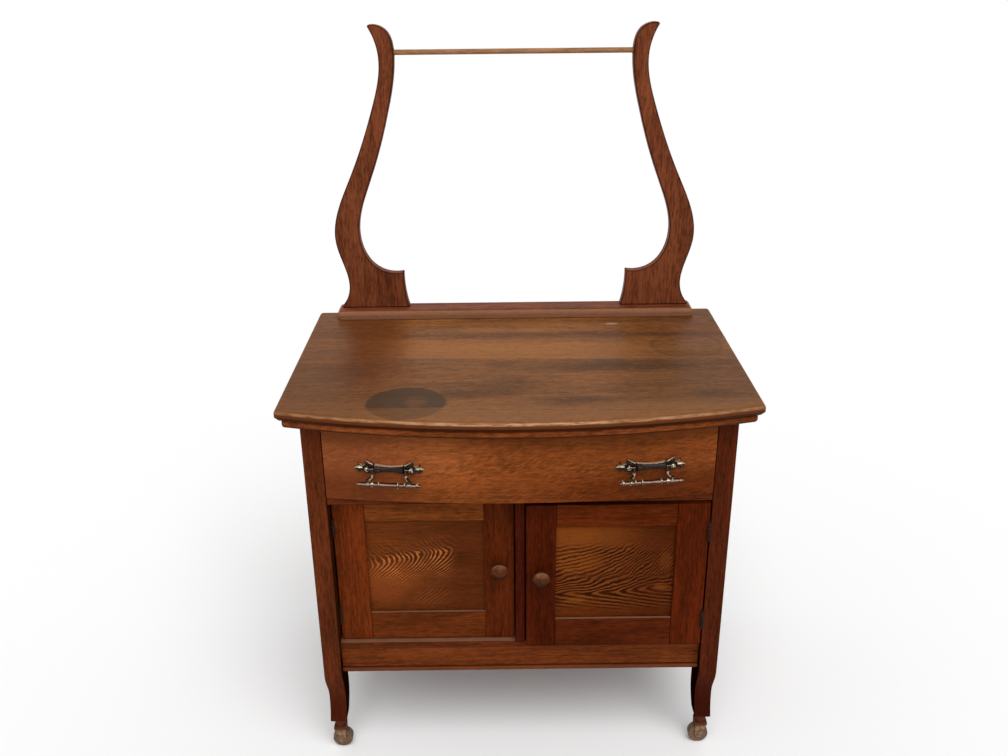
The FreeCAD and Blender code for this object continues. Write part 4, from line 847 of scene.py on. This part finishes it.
def aged_metal(name, dark, bright, shine, seed, roughness=0.34, upper=0.0, polish_and_highlight=(0.86, 0.98), ears=0.0,
               over=None):
    """Plated metal gone dark, with brighter rubbed patches; by upper, a band over its upper sides is bright
    with wear by hands and a painted highlight.

    One pair gives how far up a surface faces where the band begins and is full, and over gives where it wanes
    and ends. Beyond the pulls' columns it begins lower, by ears.
    """
    metal = Finish(name)
    x, y, z = metal.place()
    cloud_spot = metal.vector(x * PLATING_CLOUDS + seed, y * PLATING_CLOUDS, z * PLATING_CLOUDS)
    cloud = metal.noise(cloud_spot, detail=3.0, roughness=0.55)
    grit = metal.noise(metal.vector(x * PLATING_GRIT, y * PLATING_GRIT + seed, z * PLATING_GRIT))
    rubbed = metal.step(cloud + shine, *RUBBED_PLATING)
    if upper:
        beyond = metal.step(abs(abs(x) - PULL_PLACE), COLUMN_HALF, COLUMN_HALF + COLUMN_SOFT)
        level = metal.facing("Z") + (cloud - 0.5) * 0.3 + beyond * ears
        band = metal.step(level, *polish_and_highlight)
        if over:
            band = band * metal.step(level, over[1], over[0])
        # The bright band on the upper sides: wear and a painted highlight
        rubbed = rubbed.most(band * upper)
    colour = metal.mix(rubbed, tint(dark), tint(bright))
    metal.shine(Base_Color=colour, Metallic=0.7 - rubbed * 0.3, Roughness=cloud * 0.2 + (roughness - 0.1),
                Normal=metal.bump(grit + cloud, PLATING_RELIEF, 0.2), Specular_IOR_Level=0.3)
    return metal.material


CASTER_CROWN_DARK = (0.095, 0.026, 0.0125)
CROWN_HEIGHT = 0.044
CROWN_BLUR = (0.004, 0.002)
CROWN_RAGGED = 0.006
IRON_CLOUDS = 160.0
IRON_RELIEF = 0.0006
PALE_IRON = (0.35, 0.65)


def worn_iron(name, colour, seed, crown=None):
    """Dull worn iron; where a crown's height is given, all above it is darker."""
    metal = Finish(name)
    x, y, z = metal.place()
    cloud_spot = metal.vector(x * IRON_CLOUDS + seed, y * IRON_CLOUDS, z * IRON_CLOUDS)
    cloud = metal.noise(cloud_spot, detail=3.0, roughness=0.6)
    iron = metal.mix(metal.step(cloud, *PALE_IRON), tint(colour, 0.6), tint(colour, 1.3))
    if crown:
        # Darker above the crown
        ragged = z + (cloud - 0.5) * CROWN_RAGGED
        darker_crown = metal.step(ragged, crown - CROWN_BLUR[0], crown + CROWN_BLUR[1])
        iron = metal.mix(darker_crown, iron, tint(CASTER_CROWN_DARK))
    metal.shine(Base_Color=iron, Metallic=0.1, Roughness=cloud * 0.2 + 0.55,
                Normal=metal.bump(cloud, IRON_RELIEF, 0.3), Specular_IOR_Level=0.06)
    return metal.material


def copy_of(node, label):
    """A merged copy of a CAD node's mesh, with its flat faces made whole."""
    merged = bmesh.new()
    merged.from_mesh(frame["nodes"][node].data)
    bmesh.ops.remove_doubles(merged, verts=merged.verts, dist=MERGE_REACH)
    bmesh.ops.dissolve_limit(merged, angle_limit=FLAT_TURN, verts=merged.verts, edges=merged.edges)
    for face in merged.faces:
        face.smooth = True
        face.material_index = 0
    mesh = bpy.data.meshes.new(label)
    merged.to_mesh(mesh)
    merged.free()
    return mesh


def dress(node, materials, arris=0.0, picked=None, limited=True):
    """A finished piece for a CAD node: its own shape, with edges softened by an arris.

    The softened edges and the picked faces take the last finish. The softening is limited by the shortest
    edges, unless limited is false.
    """
    mesh = copy_of(node, "dressed_" + node)
    last = len(materials) - 1
    for material in materials:
        mesh.materials.append(material)
    if picked:
        for face in mesh.polygons:
            face.material_index = last * int(picked(face))
    mesh.set_sharp_from_angle(angle=SHARP_TURN)
    piece = bpy.data.objects.new("dressed_" + node, mesh)
    bpy.context.scene.collection.objects.link(piece)
    if arris:
        bevel = piece.modifiers.new("arris", "BEVEL")
        bevel.width = arris
        bevel.segments = ARRIS_SEGMENTS
        bevel.use_clamp_overlap = limited
        bevel.limit_method = "ANGLE"
        bevel.angle_limit = SHARP_TURN
        bevel.material = last
    even = piece.modifiers.new("even_shading", "WEIGHTED_NORMAL")
    even.keep_sharp = True
    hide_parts(node)
    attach(piece, BODY_OF[node])
    return piece


def paint(node, material):
    """Gives a CAD node that stays its finish."""
    slots = frame["nodes"][node].data.materials
    slots.clear()
    slots.append(material)


BAR_RADIUS = 0.0042
RIM_RADIUS = 0.0055
RIM_MARGIN = 1.1
BAIL_NECK = 0.0115


def bail_rims(node):
    """A test of whether a point stands out from a bail's bar, as the rims of its discs do."""
    points = [vertex.co for vertex in frame["nodes"][node].data.vertices]
    bar_height = lowest(node) + RIM_RADIUS
    bar = [point for point in points if point.z < bar_height]
    low = min(bar, key=lambda point: point.x)
    high = max(bar, key=lambda point: point.x)
    run = high - low
    run.z = 0.0
    run.normalize()

    def stands_out(point):
        away = point - low
        away.z = point.z - bar_height
        away -= run * away.dot(run)
        return BAR_RADIUS < away.length < RIM_RADIUS * RIM_MARGIN

    return stands_out


def fill_out(piece, node, fullness, kept):
    """Makes a bail's legs and bar fuller, but for kept points and the neck that turns on the bolts."""
    neck = highest(node) - BAIL_NECK
    filled = [vertex.index for vertex in piece.data.vertices if vertex.co.z < neck and not kept(vertex.co)]
    group = piece.vertex_groups.new(name="filled")
    group.add(filled, 1.0, "REPLACE")
    swell = piece.modifiers.new("fullness", "DISPLACE")
    swell.vertex_group = group.name
    swell.mid_level = 0.0
    swell.strength = fullness
    piece.modifiers.move(len(piece.modifiers) - 1, 0)


def colour_choice(name, what, default):
    """A colour that a user may change."""
    return bpy.props.FloatVectorProperty(name=name, description=what, default=default, size=3,
                                         subtype="COLOR", min=0.0, max=1.0)


def length_choice(name, what, default):
    """A length that a user may change."""
    return bpy.props.FloatProperty(name=name, description=what, default=default, min=0.0, unit="LENGTH")


def strength_choice(name, what, default):
    """The strength of a light, which a user may change."""
    return bpy.props.FloatProperty(name=name, description=what, default=default, min=0.0)


def angle_choice(name, what, degrees):
    """An angle that a user may change, given here in degrees."""
    return bpy.props.FloatProperty(name=name, description=what, default=math.radians(degrees),
                                   subtype="ANGLE")


class WashstandColours(bpy.types.PropertyGroup):
    """Colours of the woods and metals."""

    top: colour_choice("Top", "Varnished top", (0.20, 0.074, 0.0215))
    harp: colour_choice("Uprights", "Lyre uprights and their rail", (0.15, 0.041, 0.0165))
    rod: colour_choice("Towel rod", "Paler wood of the towel rod", (0.30, 0.15, 0.075))
    moulding: colour_choice("Moulding", "Moulding under the top", (0.205, 0.05, 0.012))
    post: colour_choice("Posts", "Left posts, and rails of the case", (0.092, 0.02, 0.006))
    # The right posts are darker than the left as painted shade, where the light falls off to the right
    right_post: colour_choice("Right posts", "Posts at the right end", (0.068, 0.0125, 0.004))
    stile: colour_choice("Centre stile", "Dark stile between the doors", (0.056, 0.0068, 0.0021))
    apron: colour_choice("Apron", "Apron under the doors", (0.125, 0.0275, 0.006))
    board: colour_choice("Bottom board", "Floor of the cupboard, with its front edge", (0.08, 0.018, 0.005))
    drawer: colour_choice("Drawer", "Quartersawn drawer front", (0.20, 0.049, 0.01))
    left_frame: colour_choice("Left frame", "Stiles and rails of the left door", (0.118, 0.0236, 0.0048))
    left_top_rail: colour_choice("Left top rail", "Golden rail over the left panel", (0.135, 0.032, 0.0072))
    right_frame: colour_choice("Right frame", "Stiles and rails of the right door", (0.076, 0.0115, 0.0022))
    left_panel: colour_choice("Left panel", "Flame grain of the left door", (0.103, 0.0242, 0.0053))
    right_panel: colour_choice("Right panel", "Flame grain of the right door", (0.083, 0.0172, 0.0031))
    side: colour_choice("Sides", "Panels at the ends of the case", (0.118, 0.03, 0.008))
    knob: colour_choice("Knobs", "Turned door knobs", (0.078, 0.023, 0.0095))
    inside: colour_choice("Inside", "Bare wood inside", (0.31, 0.165, 0.072))
    plating: colour_choice("Pulls", "Dark plating of the pulls", (0.022, 0.013, 0.009))
    # Bright plating: wear and a painted highlight
    plating_worn_and_lit: colour_choice("Pulls, rubbed and lit", "Bright metal on the pulls' edges", (0.95, 0.80, 0.56))
    bail: colour_choice("Bails", "Dark plating of the bails", (0.06, 0.024, 0.014))
    # Bright bail metal: wear and a painted highlight
    bail_worn_and_lit: colour_choice("Bails, rubbed and lit", "Worn and lit metal along the bails", (0.5, 0.32, 0.22))
    hinge: colour_choice("Hinges", "Dark iron of the hinges", (0.022, 0.011, 0.007))
    caster: colour_choice("Casters", "Worn metal of the casters", (0.23, 0.13, 0.08))
    wheel: colour_choice("Wheels", "Worn wood of the wheels", (0.13, 0.085, 0.055))


class WashstandSizes(bpy.types.PropertyGroup):
    """Softening of the edges, and fullness of the bails."""

    board_arris: length_choice("Board edges", "Softening of sawn and planed edges", 0.0012)
    harp_arris: length_choice("Upright edges", "Softening of the uprights' edges", 0.0025)
    metal_arris: length_choice("Metal edges", "Softening of cast edges", 0.0004)
    plate_arris: length_choice("Plate edges", "Rubbed width of the pull plates' edges", 0.0008)
    bail_fullness: length_choice("Bail fullness", "Thickness that the bails' bars gain all round", 0.0012)


class WashstandStage(bpy.types.PropertyGroup):
    """Floor and light."""

    floor_reach: length_choice("Floor", "Half the width of the pale floor", 45.0)
    sun: strength_choice("Lamp", "Strength of the soft main light", 1.9)
    sky: strength_choice("Room", "Strength of the light all round", 0.56)
    lamp_height: angle_choice("Lamp height", "Angle of the main light above the floor", 58.0)
    lamp_side: angle_choice("Lamp side", "Angle of the main light to the right", 14.0)


class WashstandSettings(bpy.types.PropertyGroup):
    """All that a user may change."""

    colours: bpy.props.PointerProperty(type=WashstandColours)
    sizes: bpy.props.PointerProperty(type=WashstandSizes)
    stage: bpy.props.PointerProperty(type=WashstandStage)


def settings():
    """The user's choices in the open scene."""
    return bpy.context.scene.washstand


FLAT_FACE = 0.98


class WASHSTAND_OT_top(bpy.types.Operator):
    """Dress the stained top and the moulding under it"""

    bl_idname = "washstand.top"
    bl_label = "Top and moulding"

    def execute(self, context):
        colours = settings().colours
        flat = top_oak("top_oak", colours.top, seed=0.4, gloss=0.05)
        nose = top_oak("nose_oak", colours.top, seed=0.4, gloss=0.03)
        dress("top_board", [flat, nose], picked=lambda face: face.normal.z < FLAT_FACE)
        dress("moulding_front", [moulding_oak("moulding_oak", colours.moulding, "X", seed=1.3)])
        dress("moulding_returns", [moulding_oak("return_oak", colours.moulding, "Y", seed=1.9)])
        return {"FINISHED"}


class WASHSTAND_OT_uprights(bpy.types.Operator):
    """Dress the lyre uprights, the rail that carries them and the towel rod"""

    bl_idname = "washstand.uprights"
    bl_label = "Uprights and towel rod"

    def execute(self, context):
        colours, sizes = settings().colours, settings().sizes
        for number, side in enumerate(SIDES):
            # The uprights' darker edges are painted shade where they round away, with old varnish
            woods = oak_pair("harp_oak_" + side, colours.harp, "Z", seed=2.2 + number, contrast=1.2)
            dress("harp_" + side, woods, sizes.harp_arris, limited=False)
        dress("harp_base_rail", [rail_oak("rail_oak", colours.harp, seed=4.6)])
        dress("towel_rod", [plain_oak("rod_oak", colours.rod, "X", seed=5.1, contrast=0.7)])
        return {"FINISHED"}


INNER_FACE = 0.5
FIRST_CASE_SEED = 7.3
CASE_SEED_STEP = 1.3


class WASHSTAND_OT_case(bpy.types.Operator):
    """Dress the posts, rails, panels and boards of the case"""

    bl_idname = "washstand.case"
    bl_label = "Case"

    def execute(self, context):
        colours, sizes = settings().colours, settings().sizes
        seeds = itertools.count(FIRST_CASE_SEED, CASE_SEED_STEP)
        self.dress_posts(colours, sizes, seeds)
        for side in SIDES:
            dress("side_panel_" + side,
                  [plain_oak("side_oak_" + side, colours.side, "Z", next(seeds), contrast=0.9)])
        for name in ("side_top_rails", "side_bottom_rails"):
            dress(name, oak_pair(name + "_oak", colours.post, "Y", next(seeds)), sizes.board_arris)
        for name in ("front_top_rail", "drawer_rail"):
            dress(name, oak_pair(name + "_oak", colours.post, "X", next(seeds)), sizes.board_arris)
        boards = oak_pair("bottom_board_oak", colours.board, "X", next(seeds), ledge=highest("bottom_board"))
        dress("bottom_board", boards, sizes.board_arris)
        aprons = [apron_oak("apron_oak", colours.apron, seed=18.2),
                  apron_oak("apron_oak_edge", tint(colours.apron, EDGE_SHADE), seed=18.2)]
        dress("apron_rail", aprons, sizes.board_arris)
        stiles = oak_pair("centre_stile_oak", colours.stile, "Z", next(seeds))
        dress("centre_stile", stiles, sizes.board_arris)
        back_wood = bare_wood("inside_wood", colours.inside, "X", seed=30.3)
        paint("back_panel", back_wood)
        paint("back_rails", back_wood)
        # The door stops are dark as painted shade in the gaps between the doors
        paint("door_stops", plain_oak("stop_shade_oak", tint(colours.stile, EDGE_SHADE), "Z", seed=29.1))
        paint("drawer_runners", bare_wood("runner_wood", colours.inside, "Y", seed=31.7))
        return {"FINISHED"}

    def dress_posts(self, colours, sizes, seeds):
        """The four posts, whose inner sides take the darker finish of the edges as painted shade."""
        for end in ENDS:
            for side in SIDES:
                name = "post_" + end + "_" + side
                colour = colours.post if side == "left" else colours.right_post
                seed = next(seeds)
                woods = [post_oak(name + "_oak", colour, seed, side, POST_GLOSS),
                         post_oak(name + "_oak_edge", tint(colour, EDGE_SHADE), seed, side, gloss=0.0)]
                dress(name, woods, sizes.board_arris, lambda face: face.normal.x * INWARD[side] > INNER_FACE)


class WASHSTAND_OT_drawer(bpy.types.Operator):
    """Dress the bowed drawer front and the box behind it"""

    bl_idname = "washstand.drawer"
    bl_label = "Drawer"

    def execute(self, context):
        colours, sizes = settings().colours, settings().sizes
        face = quartered_oak("drawer_oak", colours.drawer, seed=33.0)
        edge = plain_oak("drawer_oak_edge", tint(colours.drawer, EDGE_SHADE), "X", seed=33.0, contrast=0.9)
        dress("drawer_front", [face, edge], sizes.board_arris)
        side_wood = bare_wood("drawer_side_wood", colours.inside, "Y", seed=35.0)
        for side in SIDES:
            paint("drawer_side_" + side, side_wood)
        cross_wood = bare_wood("drawer_back_wood", colours.inside, "X", seed=36.0)
        paint("drawer_back", cross_wood)
        paint("drawer_bottom", cross_wood)
        return {"FINISHED"}


# Each part of a door's frame has the axis of its grain and a dye
DOOR_FRAME = {
    "hinge_stile": ("Z", (1.02, 0.92, 0.84)),
    "lock_stile": ("Z", (0.72, 0.6, 0.54)),
    "top_rail": ("X", (1.17, 1.24, 1.05)),
    "bottom_rail": ("X", (0.93, 0.98, 0.95)),
}
FIRST_DOOR_SEED = 40.0
DOOR_SEED_STEP = 8.0
FRAME_SEED_STEP = 1.7


class WASHSTAND_OT_doors(bpy.types.Operator):
    """Dress the frames and the flame-grained panels of both doors"""

    bl_idname = "washstand.doors"
    bl_label = "Doors"

    def execute(self, context):
        colours, sizes = settings().colours, settings().sizes
        for number, side in enumerate(SIDES):
            colour = colours.left_frame if side == "left" else colours.right_frame
            for order, (part, (grain, dye)) in enumerate(DOOR_FRAME.items()):
                name = "door_" + side + "_" + part
                seed = FIRST_DOOR_SEED + number * DOOR_SEED_STEP + order * FRAME_SEED_STEP
                own = colours.left_top_rail if name == "door_left_top_rail" else colour
                ledge = highest(name) if part == "bottom_rail" else None
                woods = oak_pair(name + "_oak", dyed(own, dye), grain, seed, ledge=ledge)
                dress(name, woods, sizes.board_arris)
        dress("door_left_panel", [left_panel_oak("left_panel_oak", colours.left_panel, seed=60.0)])
        dress("door_right_panel", [right_panel_oak("right_panel_oak", colours.right_panel, seed=63.0)])
        return {"FINISHED"}


class WASHSTAND_OT_knobs(bpy.types.Operator):
    """Dress the turned door knobs"""

    bl_idname = "washstand.knobs"
    bl_label = "Knobs"

    def execute(self, context):
        colours = settings().colours
        for number, side in enumerate(SIDES):
            node = "door_" + side + "_knob"
            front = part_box(node)[0][1]
            dress(node, [rubbed_and_lit_knob("knob_wood_" + side, colours.knob, 70.0 + number, front)])
        return {"FINISHED"}


class WASHSTAND_OT_pulls(bpy.types.Operator):
    """Dress the cast plates, bolts and bails of the drawer pulls"""

    bl_idname = "washstand.pulls"
    bl_label = "Pulls"

    def execute(self, context):
        colours, sizes = settings().colours, settings().sizes
        plain, rubbed = colours.plating, colours.plating_worn_and_lit
        # The plates' upper sides and edges are bright with wear and a painted highlight
        dark = aged_metal("plate_metal", plain, rubbed, shine=-0.02, seed=80.0, roughness=0.36,
                          upper=0.9, ears=0.38)
        bright = aged_metal("plate_metal_edge", plain, rubbed, shine=0.24, seed=81.0, roughness=0.3,
                            upper=0.9, ears=0.48)
        dress("pull_plates", [dark, bright], sizes.plate_arris)
        # A painted glint on the bolt heads, with their wear
        bolt = aged_metal("bolt_metal", plain, rubbed, shine=0.18, seed=82.0, roughness=0.3, upper=0.8)
        dress("pull_bolts", [bolt])
        paint("pull_nuts", dark)
        for number, side in enumerate(SIDES):
            node = "bail_" + side
            name = "bail_metal_" + side
            # The bails' bright band and rims are wear and a painted highlight
            worn = aged_metal(name, colours.bail, colours.bail_worn_and_lit, shine=0.0, seed=83.0 + number,
                              upper=0.75, polish_and_highlight=(0.1, 0.35), over=(0.45, 0.75))
            rim = aged_metal(name + "_rim", colours.bail, rubbed, shine=0.1, seed=85.0 + number,
                             roughness=0.28, upper=0.6, polish_and_highlight=(0.2, 0.8))
            rims = bail_rims(node)
            bail = dress(node, [worn, rim], sizes.metal_arris, lambda face: rims(face.center))
            fill_out(bail, node, sizes.bail_fullness, rims)
        return {"FINISHED"}


class WASHSTAND_OT_hinges(bpy.types.Operator):
    """Dress the butt hinges and their pins"""

    bl_idname = "washstand.hinges"
    bl_label = "Hinges"

    def execute(self, context):
        iron = worn_iron("hinge_metal", settings().colours.hinge, seed=90.0)
        for node in ("hinge_post_leaves", "hinge_pins", "door_left_hinge_leaves", "door_right_hinge_leaves"):
            dress(node, [iron])
        return {"FINISHED"}


class WASHSTAND_OT_casters(bpy.types.Operator):
    """Dress the casters under the feet"""

    bl_idname = "washstand.casters"
    bl_label = "Casters"

    def execute(self, context):
        colours, sizes = settings().colours, settings().sizes
        metal = worn_iron("caster_metal", colours.caster, seed=95.0, crown=CROWN_HEIGHT)
        edge_colour = tint(colours.caster, EDGE_SHADE)
        edge = worn_iron("caster_metal_edge", edge_colour, seed=96.0, crown=CROWN_HEIGHT)
        paint("caster_sockets", metal)
        for end in ENDS:
            for side in SIDES:
                name = "caster_" + end + "_" + side
                dress(name + "_horn", [metal, edge], sizes.metal_arris)
                dress(name + "_wheel", [turned_wheel(name + "_wood", colours.wheel, seed=97.0)])
        return {"FINISHED"}


LENS = 35.596
SENSOR = 36.0
CAMERA_PLACE = (-0.0307, -1.7016, 1.4425)
CAMERA_YAW = math.radians(0.194)
CAMERA_PITCH = math.radians(23.193)
CAMERA_ROLL = math.radians(0.587)
LAMP_SPREAD = math.radians(50.0)
SEEN_STRENGTH = 1.0
FLOOR_CLOUDS = 0.7
FLOOR_DARK = (0.93, 0.93, 0.93)
FLOOR_PALE = (0.95, 0.95, 0.95)


def camera_turn():
    """The camera's own axes, from its yaw, its pitch downwards and its roll."""
    level = math.cos(CAMERA_PITCH)
    ahead = Vector((math.sin(CAMERA_YAW) * level, math.cos(CAMERA_YAW) * level, -math.sin(CAMERA_PITCH)))
    right = Vector((math.cos(CAMERA_YAW), -math.sin(CAMERA_YAW), 0.0))
    down = ahead.cross(right)
    upright, tilted = math.cos(CAMERA_ROLL), math.sin(CAMERA_ROLL)
    rolled_right = right * upright + down * tilted
    rolled_up = right * tilted - down * upright
    return Matrix((rolled_right, rolled_up, -ahead)).transposed().to_4x4()


class WASHSTAND_OT_stage(bpy.types.Operator):
    """Lay the pale floor, light it softly and set the camera at the photograph's angle"""

    bl_idname = "washstand.stage"
    bl_label = "Stage"

    def execute(self, context):
        scene, stage = context.scene, settings().stage
        scene.view_settings.view_transform = "Standard"
        self.lay_floor(scene, stage)
        self.hang_lamp(scene, stage)
        self.light_room(scene, stage)
        lens = bpy.data.cameras.new("camera")
        lens.sensor_width = SENSOR
        lens.lens = LENS
        camera = bpy.data.objects.new("camera", lens)
        camera.matrix_world = Matrix.Translation(CAMERA_PLACE) @ camera_turn()
        scene.collection.objects.link(camera)
        scene.camera = camera
        return {"FINISHED"}

    def lay_floor(self, scene, stage):
        sheet = bmesh.new()
        bmesh.ops.create_grid(sheet, x_segments=1, y_segments=1, size=stage.floor_reach)
        mesh = bpy.data.meshes.new("floor")
        sheet.to_mesh(mesh)
        sheet.free()
        finish = Finish("floor")
        x, y, z = finish.place()
        cloud = finish.noise(finish.vector(x * FLOOR_CLOUDS, y * FLOOR_CLOUDS, z))
        colour = finish.mix(cloud, tint(FLOOR_DARK), tint(FLOOR_PALE))
        finish.shine(Base_Color=colour, Roughness=0.9, Specular_IOR_Level=0.1)
        mesh.materials.append(finish.material)
        floor = bpy.data.objects.new("floor", mesh)
        scene.collection.objects.link(floor)

    def hang_lamp(self, scene, stage):
        lamp = bpy.data.lights.new("lamp", "SUN")
        lamp.energy = stage.sun
        lamp.angle = LAMP_SPREAD
        sun = bpy.data.objects.new("lamp", lamp)
        raised = Matrix.Rotation(math.pi / 2.0 - stage.lamp_height, 4, "X")
        sun.matrix_world = Matrix.Rotation(stage.lamp_side, 4, "Z") @ raised
        scene.collection.objects.link(sun)

    def light_room(self, scene, stage):
        """White where the room is seen, directly or in metal, and the plain light of the sky elsewhere."""
        world = bpy.data.worlds.new("room")
        scene.world = world
        world.use_nodes = True
        nodes, links = world.node_tree.nodes, world.node_tree.links
        background = nodes["Background"]
        background.inputs["Color"].default_value = WHITE
        path = nodes.new("ShaderNodeLightPath")
        seen = path.outputs["Is Camera Ray"]
        for ray in ("Is Glossy Ray", "Is Transmission Ray"):
            either = nodes.new("ShaderNodeMath")
            either.operation = "MAXIMUM"
            links.new(seen, either.inputs[0])
            links.new(path.outputs[ray], either.inputs[1])
            seen = either.outputs[0]
        strength = nodes.new("ShaderNodeMapRange")
        links.new(seen, strength.inputs["Value"])
        strength.inputs["To Min"].default_value = stage.sky
        strength.inputs["To Max"].default_value = SEEN_STRENGTH
        links.new(strength.outputs[0], background.inputs["Strength"])


class WASHSTAND_PT_panel(bpy.types.Panel):
    """The washstand's pieces, colours and sizes"""

    bl_idname = "WASHSTAND_PT_panel"
    bl_label = "Washstand"
    bl_space_type = "VIEW_3D"
    bl_region_type = "UI"
    bl_category = "Washstand"

    def draw(self, context):
        for operator in OPERATORS:
            self.layout.operator(operator.bl_idname)
        chosen = context.scene.washstand
        for group in (chosen.colours, chosen.sizes, chosen.stage):
            box = self.layout.box()
            for key in group.__annotations__:
                box.prop(group, key)


OPERATORS = (
    WASHSTAND_OT_top,
    WASHSTAND_OT_uprights,
    WASHSTAND_OT_case,
    WASHSTAND_OT_drawer,
    WASHSTAND_OT_doors,
    WASHSTAND_OT_knobs,
    WASHSTAND_OT_pulls,
    WASHSTAND_OT_hinges,
    WASHSTAND_OT_casters,
    WASHSTAND_OT_stage,
)
GROUPS = (WashstandColours, WashstandSizes, WashstandStage, WashstandSettings)
CLASSES = GROUPS + OPERATORS + (WASHSTAND_PT_panel,)


def register():
    for item in CLASSES:
        bpy.utils.register_class(item)
    bpy.types.Scene.washstand = bpy.props.PointerProperty(type=WashstandSettings)


def unregister():
    del bpy.types.Scene.washstand
    for item in reversed(CLASSES):
        bpy.utils.unregister_class(item)


def main():
    register()
    bpy.ops.washstand.top()
    bpy.ops.washstand.uprights()
    bpy.ops.washstand.case()
    bpy.ops.washstand.drawer()
    bpy.ops.washstand.doors()
    bpy.ops.washstand.knobs()
    bpy.ops.washstand.pulls()
    bpy.ops.washstand.hinges()
    bpy.ops.washstand.casters()
    bpy.ops.washstand.stage()


if __name__ == "__main__":
    main()
